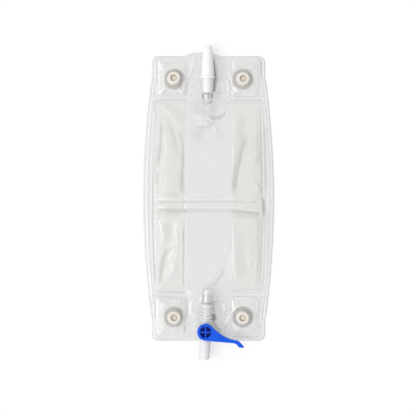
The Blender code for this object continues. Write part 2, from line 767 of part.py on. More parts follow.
def inlet_cap(parts, pivot, material):
    """A tapered cap with a flared rim. Its inside follows the barrel and the cone."""
    lap_height = CAP_LAP + 2 * SEAT_GAP
    barrel_bore = BARREL_RADIUS + SEAT_GAP
    cone_bore = CONE_BASE_RADIUS + CONE_STEP + SEAT_GAP
    tip_bore = CONE_TIP_RADIUS + CONE_STEP + SEAT_GAP
    cavity_top = CAP_LENGTH - CAP_FLOOR
    top_edge = CAP_TIP_ROUNDING
    profile = [(0.0, CAP_LENGTH)]
    profile += arc(CAP_TIP_RADIUS - top_edge, CAP_LENGTH - top_edge, top_edge, 90, 0)
    profile += [
        (CAP_NECK_RADIUS, CAP_SKIRT_HEIGHT + CAP_SHOULDER_HEIGHT),
        (CAP_SKIRT_RADIUS, CAP_SKIRT_HEIGHT),
        (CAP_SKIRT_RADIUS, CAP_RIM_HEIGHT + SEAT_GAP),
        (CAP_RIM_RADIUS, CAP_RIM_HEIGHT),
        (CAP_RIM_RADIUS, 0.0),
        (barrel_bore, 0.0),
        (barrel_bore, lap_height),
        (cone_bore, lap_height + (barrel_bore - cone_bore)),
        (tip_bore, cavity_top),
        (0.0, cavity_top),
    ]
    obj = turned("inlet_cap", profile, parts, material)
    return lay_along_y(obj, pivot, CAP_START - INLET_MOUTH)


def anti_reflux_valve(parts, material):
    """A sleeve of film: round on the stub, then flat, swerving to the right in the chamber."""
    start = INLET_MOUTH - INLET_STUB_INSIDE + REFLUX_LAP
    grip = INLET_STUB_RADIUS + SEAT_GAP + REFLUX_WALL
    mesh = bpy.data.meshes.new("anti_reflux_valve")
    work = bmesh.new()
    rings = []
    for section in range(REFLUX_SECTIONS):
        share = section / (REFLUX_SECTIONS - 1)
        along = (REFLUX_LENGTH + REFLUX_LAP) * share
        flat = smooth_step(REFLUX_LAP, REFLUX_LAP + REFLUX_FLATTEN, along)
        swerve = REFLUX_SWERVE * smooth_step(REFLUX_SWERVE_SHARE, 1.0, share)
        centre_z = PORT_AXIS_Z + (REFLUX_REST_Z - PORT_AXIS_Z) * flat
        half_width_here = grip + (REFLUX_HALF_WIDTH - grip) * flat
        half_height = grip + (REFLUX_HALF_GAP + REFLUX_WALL - grip) * flat
        ring = []
        for side in range(REFLUX_SIDES):
            turn = 2 * math.pi * side / REFLUX_SIDES
            ring.append(
                work.verts.new(
                    (
                        INLET_X + swerve + half_width_here * math.cos(turn),
                        world_y(start - along),
                        centre_z + half_height * math.sin(turn),
                    )
                )
            )
        rings.append(ring)
    for upper, lower in zip(rings, rings[1:]):
        for side in range(REFLUX_SIDES):
            after = (side + 1) % REFLUX_SIDES
            work.faces.new((upper[side], upper[after], lower[after], lower[side]))
    bmesh.ops.recalc_face_normals(work, faces=work.faces)
    work.to_mesh(mesh)
    work.free()
    shade(mesh, SLEEVE_SHARP_DEG)
    obj = link(bpy.data.objects.new("anti_reflux_valve", mesh), parts, material)
    wall = obj.modifiers.new("wall", "SOLIDIFY")
    wall.thickness = REFLUX_WALL
    wall.offset = -1.0
    return obj


# Outlet. Distances along the outlet run down from its pivot, at the stub's inner end.
def outlet_stub(parts, pivot, material):
    inner_end = 0.0
    outer_end = -(OUTLET_STUB_INSIDE + MOUTH_GAP + OUTLET_SOCKET_LAP - SEAT_GAP)
    rounding = OUTLET_STUB_WALL / 3
    profile = [
        (OUTLET_STUB_BORE, inner_end),
        (OUTLET_STUB_RADIUS - rounding, inner_end),
        (OUTLET_STUB_RADIUS, inner_end - rounding),
        (OUTLET_STUB_RADIUS, outer_end),
        (OUTLET_STUB_BORE, outer_end),
    ]
    return lay_along_y(turned("outlet_stub", profile, parts, material, ring=True), pivot)


def coupling_profile(top):
    """The ribbed outer side of the coupling, from its open end down to the last rib."""
    points = [(COUPLING_RADIUS, top)]
    for rib in range(COUPLING_RIBS):
        share = COUPLING_FIRST_RIB_SHARE + COUPLING_RIB_PITCH_SHARE * rib
        middle = top - COUPLING_LENGTH * share
        points += [
            (COUPLING_RADIUS, middle + COUPLING_RIB_HALF),
            (COUPLING_RADIUS + COUPLING_RIB_RISE, middle),
            (COUPLING_RADIUS, middle - COUPLING_RIB_HALF),
        ]
    return points


def valve_body(parts, helpers, pivot, material):
    """Ribbed coupling, upright housing for the plug, and the spigot that the nozzle goes on."""
    top = -(OUTLET_STUB_INSIDE + MOUTH_GAP)
    housing = top - COUPLING_LENGTH - HOUSING_RADIUS
    neck_radius = SPIGOT_RADIUS + SPIGOT_ROOT_STEP
    neck_start = housing + HOUSING_RADIUS + FLOW_BORE / 2
    end = housing - HOUSING_RADIUS - SPIGOT_LENGTH
    profile = [(0.0, top)] + coupling_profile(top)
    profile += [
        (COUPLING_RADIUS, neck_start + COUPLING_RADIUS - neck_radius),
        (neck_radius, neck_start),
        (neck_radius, housing),
        (SPIGOT_RADIUS, housing - HOUSING_RADIUS * SPIGOT_ROOT_SHARE),
        (SPIGOT_RADIUS, end + SPIGOT_BARB_LENGTH + SPIGOT_BARB),
        (SPIGOT_RADIUS + SPIGOT_BARB, end + SPIGOT_BARB_LENGTH),
        (SPIGOT_RADIUS - SPIGOT_BARB, end),
        (0.0, end),
    ]
    obj = lay_along_y(turned("valve_body", profile, parts, material), pivot)
    floor_z = HOUSING_Z - PORT_AXIS_Z
    drum = cylinder("housing_drum", HOUSING_RADIUS, HOUSING_HEIGHT, helpers, segments=FINE_ROUND)
    drum.location = (0, housing, floor_z)
    add_boolean(obj, helper(drum, pivot), "UNION")
    bore = cylinder(
        "housing_bore", PLUG_RADIUS + PLUG_CLEARANCE, HOUSING_HEIGHT * 2, helpers, segments=FINE_ROUND
    )
    bore.location = (0, housing, floor_z - HOUSING_HEIGHT / 2)
    add_boolean(obj, helper(bore, pivot), "DIFFERENCE")
    flow = cylinder("flow_bore", FLOW_BORE, top - end + 2 * MOUTH_GAP, helpers, segments=BORE_ROUND)
    lay_along_y(flow, pivot, end - MOUTH_GAP)
    add_boolean(obj, helper(flow, pivot), "DIFFERENCE")
    socket = cylinder("coupling_socket", OUTLET_STUB_RADIUS + SEAT_GAP, OUTLET_SOCKET_LAP + MOUTH_GAP, helpers)
    lay_along_y(socket, pivot, top - OUTLET_SOCKET_LAP)
    add_boolean(obj, helper(socket, pivot), "DIFFERENCE")
    return obj


def drain_nozzle(parts, pivot, material):
    """A soft sleeve pushed on the spigot, narrowing a little to a rounded end."""
    housing = -(OUTLET_STUB_INSIDE + DRAIN_REACH)
    start = housing - HOUSING_RADIUS - SEAT_GAP
    end = housing - NOZZLE_END
    lap_end = housing - HOUSING_RADIUS - SPIGOT_LENGTH - SEAT_GAP
    tip_edge = NOZZLE_TIP_ROUNDING
    profile = [(NOZZLE_GRIP_RADIUS, start), (NOZZLE_RADIUS, start)]
    profile += arc(NOZZLE_TIP_RADIUS - tip_edge, end + tip_edge, tip_edge, 0, -90)
    profile += [(NOZZLE_BORE, end), (NOZZLE_BORE, lap_end), (NOZZLE_GRIP_RADIUS, lap_end)]
    return lay_along_y(turned("drain_nozzle", profile, parts, material, ring=True), pivot)


# Drain lever
def lever_outline():
    """The flat outline of head and arm: a round head, a waist that sweeps in, and a turned-down tip."""
    head = LEVER_HEAD_RADIUS
    neck = Vector((LEVER_ARM_LENGTH, -LEVER_ARM_DROP))
    upper_neck = neck + Vector((0, LEVER_NECK_WIDTH / 2))
    lower_neck = neck - Vector((0, LEVER_NECK_WIDTH / 2))
    turn = math.radians(LEVER_TIP_TURN_DEG)
    tip_way = Vector((math.cos(turn), -math.sin(turn)))
    tip_side = Vector((math.sin(turn), math.cos(turn)))
    tip = neck + tip_way * LEVER_TIP_LENGTH
    leave = math.radians(LEVER_WAIST_LEAVE_DEG)
    start = Vector((math.cos(leave), math.sin(leave))) * head
    along_start = Vector((math.sin(leave), -math.cos(leave)))
    along_neck = Vector((1, -LEVER_NECK_SLOPE)).normalized()
    waist = LEVER_ARM_LENGTH * LEVER_WAIST_SHARE
    points = bezier(
        start,
        start + along_start * waist,
        upper_neck - along_neck * waist,
        upper_neck,
        LEVER_WAIST_STEPS,
    )
    corner = LEVER_TIP_WIDTH * LEVER_TIP_CORNER_SHARE
    upper_tip = tip + tip_side * (LEVER_TIP_WIDTH / 2)
    lower_tip = tip - tip_side * (LEVER_TIP_WIDTH / 2)
    points += [
        upper_tip - tip_way * corner,
        upper_tip - tip_side * corner,
        lower_tip + tip_side * corner - tip_way * corner,
        lower_tip - tip_way * (LEVER_TIP_LENGTH * LEVER_HEEL_SHARE),
        lower_neck + Vector((LEVER_HEEL_OUT, -LEVER_HEEL_DOWN)) * LEVER_NECK_WIDTH,
    ]
    under = math.radians(LEVER_UNDER_LEAVE_DEG)
    points += bezier(
        lower_neck - Vector((LEVER_NECK_WIDTH, 0)),
        lower_neck - Vector((LEVER_ARM_LENGTH * LEVER_UNDER_NECK_SHARE, -head * LEVER_UNDER_NECK_RISE)),
        Vector((LEVER_ARM_LENGTH * LEVER_UNDER_SHARE, -head * LEVER_UNDER_DROP)),
        Vector((math.cos(under), math.sin(under))) * head,
        LEVER_UNDER_STEPS,
    )
    round_to = leave - 2 * math.pi
    for n in range(1, LEVER_HEAD_STEPS):
        angle = under + (round_to - under) * n / LEVER_HEAD_STEPS
        points.append(Vector((math.cos(angle), math.sin(angle))) * head)
    return points


def bezier(start, first, second, end, steps):
    found = []
    for n in range(steps + 1):
        t = n / steps
        found.append(
            start * (1 - t) ** 3 + first * 3 * t * (1 - t) ** 2 + second * 3 * t * t * (1 - t) + end * t**3
        )
    return found


def prism(name, outline, thickness, edge, collection, material):
    """A flat outline as a filled curve, made a mesh, with its upper and lower edges bevelled."""
    curve = bpy.data.curves.new(name, "CURVE")
    curve.dimensions = "2D"
    curve.fill_mode = "BOTH"
    curve.extrude = thickness / 2
    spline = curve.splines.new("POLY")
    spline.points.add(len(outline) - 1)
    for point, place in zip(spline.points, outline):
        point.co = (place.x, place.y, 0.0, 1.0)
    spline.use_cyclic_u = True
    drawn = bpy.data.objects.new(f"{name}_curve", curve)
    collection.objects.link(drawn)
    graph = bpy.context.evaluated_depsgraph_get()
    mesh = bpy.data.meshes.new_from_object(drawn.evaluated_get(graph))
    bpy.data.objects.remove(drawn)
    work = bmesh.new()
    work.from_mesh(mesh)
    bmesh.ops.remove_doubles(work, verts=work.verts, dist=MERGE)
    bmesh.ops.dissolve_limit(work, angle_limit=math.radians(1), verts=work.verts, edges=work.edges)
    bmesh.ops.recalc_face_normals(work, faces=work.faces)
    rim = [e for e in work.edges if len(e.link_faces) == 2 and abs(e.verts[0].co.z - e.verts[1].co.z) < MERGE]
    bmesh.ops.bevel(work, geom=rim, offset=edge, segments=1, affect="EDGES", profile=0.5)
    work.to_mesh(mesh)
    work.free()
    shade(mesh)
    return link(bpy.data.objects.new(name, mesh), collection, material)


def valve_lever(parts, helpers, pivot, material):
    """Lever and plug in one: the plug's port lies across the flow, so the valve is shut."""
    plug_z = LIP_Z + PLUG_LIP_THICKNESS
    top_z = LEVER_Z + LEVER_THICKNESS
    obj = prism("valve_lever", lever_outline(), LEVER_THICKNESS, LEVER_EDGE, parts, material)
    obj.parent = pivot
    obj.location = (0, 0, LEVER_Z + LEVER_THICKNESS / 2)
    plug = turned(
        "lever_plug",
        [
            (0.0, LEVER_Z + LEVER_THICKNESS / 2),
            (PLUG_RADIUS, LEVER_Z + LEVER_THICKNESS / 2),
            (PLUG_RADIUS, plug_z + SEAT_GAP),
            (PLUG_RADIUS + PLUG_CLEARANCE + PLUG_LIP_RISE, plug_z),
            (PLUG_RADIUS, LIP_Z),
            (0.0, LIP_Z),
        ],
        helpers,
        segments=FINE_ROUND,
    )
    add_boolean(obj, helper(plug, pivot), "UNION")
    port = cylinder("lever_port", FLOW_BORE, 4 * PLUG_RADIUS, helpers, segments=BORE_ROUND)
    port.rotation_euler = (0, math.pi / 2, 0)
    port.location = (-2 * PLUG_RADIUS, 0, PORT_AXIS_Z)
    add_boolean(obj, helper(port, pivot), "DIFFERENCE")
    cavity_z = PORT_AXIS_Z + FLOW_BORE + PLUG_PORT_COVER
    quarter = quarter_cutter(top_z - cavity_z, helpers)
    for n in range(4):
        cutter = quarter if n == 0 else quarter.copy()
        if n:
            helpers.objects.link(cutter)
        cutter.location = (0, 0, cavity_z)
        cutter.rotation_euler = (0, 0, math.pi / 2 * n)
        add_boolean(obj, helper(cutter, pivot), "DIFFERENCE")
    dish = cylinder("head_dish", PLUG_CAVITY_RADIUS, 2 * LEVER_RIB_DEPTH, helpers, segments=ROUND)
    dish.location = (0, 0, top_z - LEVER_RIB_DEPTH)
    add_boolean(obj, helper(dish, pivot), "DIFFERENCE")
    return obj


def quarter_cutter(depth, helpers):
    """A quarter of the plug's cavity, between two ribs of the cross."""
    half_rib = LEVER_RIB_THICKNESS / 2
    start = math.asin(half_rib / PLUG_CAVITY_RADIUS)
    points = [Vector((half_rib, half_rib))]
    for n in range(CAVITY_STEPS + 1):
        angle = start + (math.pi / 2 - 2 * start) * n / CAVITY_STEPS
        points.append(Vector((math.cos(angle), math.sin(angle))) * PLUG_CAVITY_RADIUS)
    mesh = bpy.data.meshes.new("cavity_quarter")
    work = bmesh.new()
    face = work.faces.new([work.verts.new((p.x, p.y, 0.0)) for p in points])
    raised = bmesh.ops.extrude_face_region(work, geom=[face])
    verts = [g for g in raised["geom"] if isinstance(g, bmesh.types.BMVert)]
    bmesh.ops.translate(work, vec=(0, 0, depth + LEVER_RIB_DEPTH), verts=verts)
    bmesh.ops.recalc_face_normals(work, faces=work.faces)
    work.to_mesh(mesh)
    work.free()
    return link(bpy.data.objects.new("cavity_quarter", mesh), helpers)


def pivot_at(name, location, lean, collection):
    empty = bpy.data.objects.new(name, None)
    empty.location = location
    empty.rotation_euler = (0, 0, lean)
    collection.objects.link(empty)
    return empty


def make_pivots(collection):
    drain_reach = OUTLET_STUB_INSIDE + DRAIN_REACH
    outlet = Vector((OUTLET_X, world_y(OUTLET_TURN), PORT_AXIS_Z))
    drain = outlet + Vector((-math.sin(OUTLET_LEAN), -math.cos(OUTLET_LEAN), 0)) * drain_reach
    return {
        "inlet": pivot_at("inlet_axis", (INLET_X, world_y(INLET_MOUTH), PORT_AXIS_Z), 0, collection),
        "outlet": pivot_at("outlet_axis", outlet, -OUTLET_LEAN, collection),
        "lever": pivot_at("lever_axis", (drain.x, drain.y, 0), 0, collection),
    }


def main():
    clear_scene()
    parts = new_collection("drainage_leg_bag")
    helpers = new_collection("cutters")
    materials = {name: plastic(name) for name in COLOURS}
    pivots = make_pivots(parts)
    bpy.context.view_layer.update()
    back_sheet(parts, materials["clear_film"])
    front_sheet(parts, helpers, pivots, materials["clear_film"])
    strap_buttons(parts, helpers, materials["cream_plastic"])
    inlet_stub(parts, pivots["inlet"], materials["clear_tube"])
    inlet_connector(parts, pivots["inlet"], materials["white_plastic"])
    inlet_cap(parts, pivots["inlet"], materials["white_plastic"])
    anti_reflux_valve(parts, materials["clear_film"])
    outlet_stub(parts, pivots["outlet"], materials["clear_tube"])
    valve_body(parts, helpers, pivots["outlet"], materials["milky_plastic"])
    drain_nozzle(parts, pivots["outlet"], materials["white_plastic"])
    valve_lever(parts, helpers, pivots["lever"], materials["blue_plastic"])


main()
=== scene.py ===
"""Looks of the urine drainage leg bag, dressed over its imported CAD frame.

Shapes are written in millimetres in the row's own frame and put into their meshes in metres.
X runs across the bag, Y from the drain up to the inlet, and Z out of the front film.
"""

import math

import bmesh
import bpy
import numpy as np
from mathutils import Matrix, Vector
from mathutils.geometry import tessellate_polygon


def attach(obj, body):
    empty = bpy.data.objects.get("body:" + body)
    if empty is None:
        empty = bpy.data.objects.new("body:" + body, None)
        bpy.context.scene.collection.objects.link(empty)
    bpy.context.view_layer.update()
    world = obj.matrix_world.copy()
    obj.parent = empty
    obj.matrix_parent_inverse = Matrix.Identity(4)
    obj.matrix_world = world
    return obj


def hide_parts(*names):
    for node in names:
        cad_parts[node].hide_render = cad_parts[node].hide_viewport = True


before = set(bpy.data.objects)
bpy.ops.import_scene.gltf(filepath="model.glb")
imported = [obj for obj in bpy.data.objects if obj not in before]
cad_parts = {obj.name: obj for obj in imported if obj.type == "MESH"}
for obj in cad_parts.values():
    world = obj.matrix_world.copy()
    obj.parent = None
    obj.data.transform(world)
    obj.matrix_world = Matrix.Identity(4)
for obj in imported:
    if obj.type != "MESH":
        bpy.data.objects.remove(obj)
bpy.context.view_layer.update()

# Film outline and thickness, in millimetres, with stations measured up from the lower edge
LOWER_EDGE = -137.793
FILM_LENGTH = 284.0
END_HALF_WIDTH = 56.3
SIDE_SWELL = 8.9
SEAM_INSET = 5.5
SEAM_SWELL = 4.4
SHOULDER = 20.5
CORNER = 6.0
FILM_WALL = 0.35
WELD_TOP = 0.95
WELD_UNDER = 0.42
BACK_UNDER = 0.02
BACK_WALL = 0.38
HOLLOW_DEPTH = 0.2
THINNEST = 0.2
STEEPEST = 3.0

# Depth boxes of the chamber, its outlet neck and the four pockets: low x, high x, low y, high y
CHAMBER_HALF = 52.0
CHAMBER_BOX = (-CHAMBER_HALF, CHAMBER_HALF, -88.6, 101.0)
NECK_BOX = (-21.4, 20.8, -115.6, -80.0)
POCKET_BOXES = (
    (-50.6, -22.2, 107.0, 142.9),
    (22.6, 51.0, 106.6, 142.9),
    (-52.6, -22.4, -134.6, -94.4),
    (22.6, 49.8, -133.4, -94.6),
)
CHAMBER_CORNER = 2.5
NECK_CORNER = 9.0
POCKET_CORNER = 3.0
NECK_FILLET = 4.0
EDGE_HALF = 60.0
PANEL_FOLD = (22.5, 25.5)

# How far the film rises at the chamber's weld, in its middle, in the pockets and over a button
STEP_RISE = 1.1
PILLOW_RISE = 1.9
POCKET_RISE = 1.45
BUTTON_RISE = 1.5

# How white whole areas of the film are
NECK_WHITE = 0.15
POCKET_WHITE = 0.07
LOWER_WHITE = 0.13
LEFT_FLANGE_WHITE = 0.38
CROSS_WELD_WHITE = 0.14

# Outlines pressed in round the two ports, and the wider one round the inlet
OUTLINE_BOXES = ((-17.0, 15.0, 109.2, 120.7), (-17.2, 16.3, -110.8, -99.5))
ISLAND_BOX = (-19.5, 20.5, 104.2, 122.9)

# Beads of the welds: how deep inside the edge they lie, their width and their rise
POCKET_BEADS = ((-0.6, 0.9, 0.34),)
RIM_BEADS = ((1.0, 0.8, 0.35),)
EDGE_BEADS = ((3.9, 0.8, 0.42),)
FLANGE_BEADS = ((0.32, 0.10, 0.30), (0.56, 0.10, 0.24))
OUTLINE_BEADS = ((0.0, 0.85, 0.50),)
ISLAND_BEADS = ((0.0, 0.95, 0.50),)

# Fine lines along the welds, partly their own pressed lines and partly painted shade and painted
# highlights beside their beads: how deep they lie, their width, and how grey, or below zero how white
POCKET_LINES = ((-0.7, 0.7, 0.24), (0.9, 0.7, -0.24))
EDGE_LINES = ((0.4, 0.5, 0.10), (2.0, 0.8, -0.35), (3.7, 0.6, 0.08))
OUTLINE_LINES = ((-0.3, 0.6, 0.11), (1.0, 0.6, -0.25))

# Ports, with stations past the middle belonging to the inlet
PORT_HEIGHT = 8.4
MIDDLE_STATION = 142.0
PORT_X = -0.8
INLET_ARCH = 5.15
OUTLET_ARCH = 5.65
OUTLET_LEAN = math.radians(2.8)
OUTLET_START = 51.2

# Stations and columns with the finest relief
ROW_PLACES = (8.0, 24.0, 36.0, 46.0, 132.0, 140.0, 241.0, 246.0, 262.0, 278.0)
COLUMN_PLACES = (-51.0, -23.5, -18.0, -6.0, 5.0, 18.0, 24.0, 51.0)

# Numbers that the film's material reads from its points
FILM_LABELS = ("side_panel", "right_panel", "flange", "over_port", "grey", "white")

# Points across and along the film's grid, and round a turned piece
FRONT_GRID = (57, 12, 316)
BACK_GRID = (20, 3, 80)
AROUND = 72
BUTTON_AROUND = 64

# Direction of the key lamp as seen from above, which tells a crease's lit side
LIT_WAY = np.array((-0.93, -0.36))


def smooth(low, high, value):
    """0 below low, 1 above high, and 3t2 - 2t3 between them."""
    t = np.clip((np.asarray(value, float) - low) / (high - low), 0, 1)
    return t * t * (3 - 2 * t)


def hump(value, middle, width):
    """A bell-shaped rise: exp(-((value - middle) / width)^2)."""
    return np.exp(-(((value - middle) / width) ** 2))


def humps(value, rows):
    """The sum of several humps, each given as its middle, its width and its height."""
    return sum(height * hump(value, middle, width) for middle, width, height in rows)


# Meshes from arrays
def in_scene(name, data):
    """A new object in the scene for a mesh, a lamp or a camera."""
    made = bpy.data.objects.new(name, data)
    bpy.context.scene.collection.objects.link(made)
    return made


def mesh_piece(name, points, faces, material, smooth_angle=40.0):
    """A mesh from points in millimetres and faces of point numbers, turned to face out."""
    mesh = bpy.data.meshes.new(name)
    mesh.from_pydata((np.asarray(points) / 1000).tolist(), [], faces)
    mesh.update()
    mesh.calc_loop_triangles()
    corners = np.zeros(len(mesh.loop_triangles) * 3, int)
    mesh.loop_triangles.foreach_get("vertices", corners)
    place = np.asarray(points, float)
    a, b, c = place[corners.reshape(-1, 3).T]
    if np.einsum("ij,ij->i", a, np.cross(b, c)).sum() < 0:
        mesh.flip_normals()
    mesh.materials.append(material)
    mesh.shade_smooth()
    mesh.set_sharp_from_angle(angle=math.radians(smooth_angle))
    return in_scene(name, mesh)


def grid_faces(rows, columns, round_rows=False, round_columns=False, start=0):
    """The four-sided faces between neighbouring points of a grid whose rows or columns may close."""
    up = np.arange(rows if round_rows else rows - 1)
    along = np.arange(columns if round_columns else columns - 1)
    i, j = np.meshgrid(up, along, indexing="ij")
    k, m = (i + 1) % rows, (j + 1) % columns
    quads = np.stack([i * columns + j, i * columns + m, k * columns + m, k * columns + j], -1)
    return (quads.reshape(-1, 4) + start).tolist()


def rounded(corners, steps=5):
    """A profile whose corners, given as (radius, along, rounding), each become a short arc."""
    found = []
    places = [np.array(c[:2], float) for c in corners]
    for n, corner in enumerate(corners):
        size = corner[2] if len(corner) > 2 else 0.0
        if size <= 0 or n in (0, len(corners) - 1):
            found.append(places[n])
            continue
        before, here, after = places[n - 1], places[n], places[n + 1]
        back = (before - here) / np.linalg.norm(before - here)
        on = (after - here) / np.linalg.norm(after - here)
        for t in np.linspace(0, 1, steps + 1):
            found.append(here + back * size * (1 - t) ** 2 + on * size * t**2)
    return np.array(found)


def closed(corners, steps=5):
    """A rounded profile that ends where it starts."""
    return rounded(corners + corners[:1], steps)[:-1]


def turned_points(profile, foot, way, around=AROUND):
    """Points of a profile of (radius, along) turned about the line from foot along way."""
    way = np.array(way, float) / np.linalg.norm(way)
    side = np.cross((0.0, 0.0, 1.0), way)
    side = side / np.linalg.norm(side) if np.linalg.norm(side) > 1e-6 else np.array((1.0, 0.0, 0.0))
    other = np.cross(way, side)
    turn = np.linspace(0, 2 * math.pi, around, endpoint=False)
    ring = np.cos(turn)[:, None] * side + np.sin(turn)[:, None] * other
    radius, along = np.asarray(profile, float).T
    return (
        np.asarray(foot, float)
        + along[:, None, None] * way
        + radius[:, None, None] * ring[None, :, :]
    )


def tipped(grid):
    """Points and faces of a turned grid whose first and last rings shrink to one point each."""
    rows, around = len(grid) - 2, grid.shape[1]
    inner = grid[1:-1].reshape(-1, 3)
    edge = np.arange(around)
    after = (edge + 1) % around
    last = (rows - 1) * around
    faces = grid_faces(rows, around, False, True)
    faces += np.stack([np.full(around, len(inner)), after, edge], -1).tolist()
    faces += np.stack([np.full(around, len(inner) + 1), last + edge, last + after], -1).tolist()
    return np.vstack([inner, grid[[0, -1]].mean(axis=1)]), faces


def turned_solid(name, profile, foot, way, material):
    """A turned solid whose profile starts and ends on the axis."""
    points, faces = tipped(turned_points(profile, foot, way))
    return mesh_piece(name, points, faces, material)


def turned_ring(name, corners, foot, way, material, steps=5):
    """A turned solid with a hole along its axis, from the corners of its closed profile."""
    grid = turned_points(closed(corners, steps), foot, way)
    faces = grid_faces(len(grid), AROUND, True, True)
    return mesh_piece(name, grid.reshape(-1, 3), faces, material)


# Outline of the film
def swell(station):
    """A half sine wave between the shoulders, to the power 0.8."""
    along = np.clip((station - SHOULDER) / (FILM_LENGTH - 2 * SHOULDER), 0, 1)
    return np.sin(math.pi * along) ** 0.8


def corner_cut(station):
    """How far a quarter circle at each corner brings the edge in."""
    inside = CORNER - np.minimum(station, FILM_LENGTH - station)
    return np.where(inside > 0, CORNER - np.sqrt(np.clip(CORNER**2 - inside**2, 0, None)), 0.0)


def edge_half(station):
    """Half the film's width at a station."""
    return END_HALF_WIDTH + SIDE_SWELL * swell(station) - corner_cut(station)


def seam_half(station):
    """Half the distance between the two side welds at a station."""
    return END_HALF_WIDTH - SEAM_INSET + SEAM_SWELL * swell(station)


def tab_rise(x):
    """A low smooth hump in the top edge, behind the inlet."""
    return 3.7 * (1 - smooth(6, 21, np.abs(x + 6.5)))


def box_inside(x, y, low_x, high_x, low_y, high_y, corner):
    """Depth inside a rounded box: minus the distance to it, with corners of the given radius."""
    across = np.abs(x - (low_x + high_x) / 2) - (high_x - low_x) / 2 + corner
    up = np.abs(y - (low_y + high_y) / 2) - (high_y - low_y) / 2 + corner
    outside = np.hypot(np.clip(across, 0, None), np.clip(up, 0, None))
    return corner - outside - np.minimum(np.maximum(across, up), 0)


def either(a, b, blend):
    """The larger of two depths, with a fillet of about the blend where they meet."""
    t = np.clip(0.5 + 0.5 * (a - b) / blend, 0, 1)
    return b + (a - b) * t + blend * t * (1 - t)


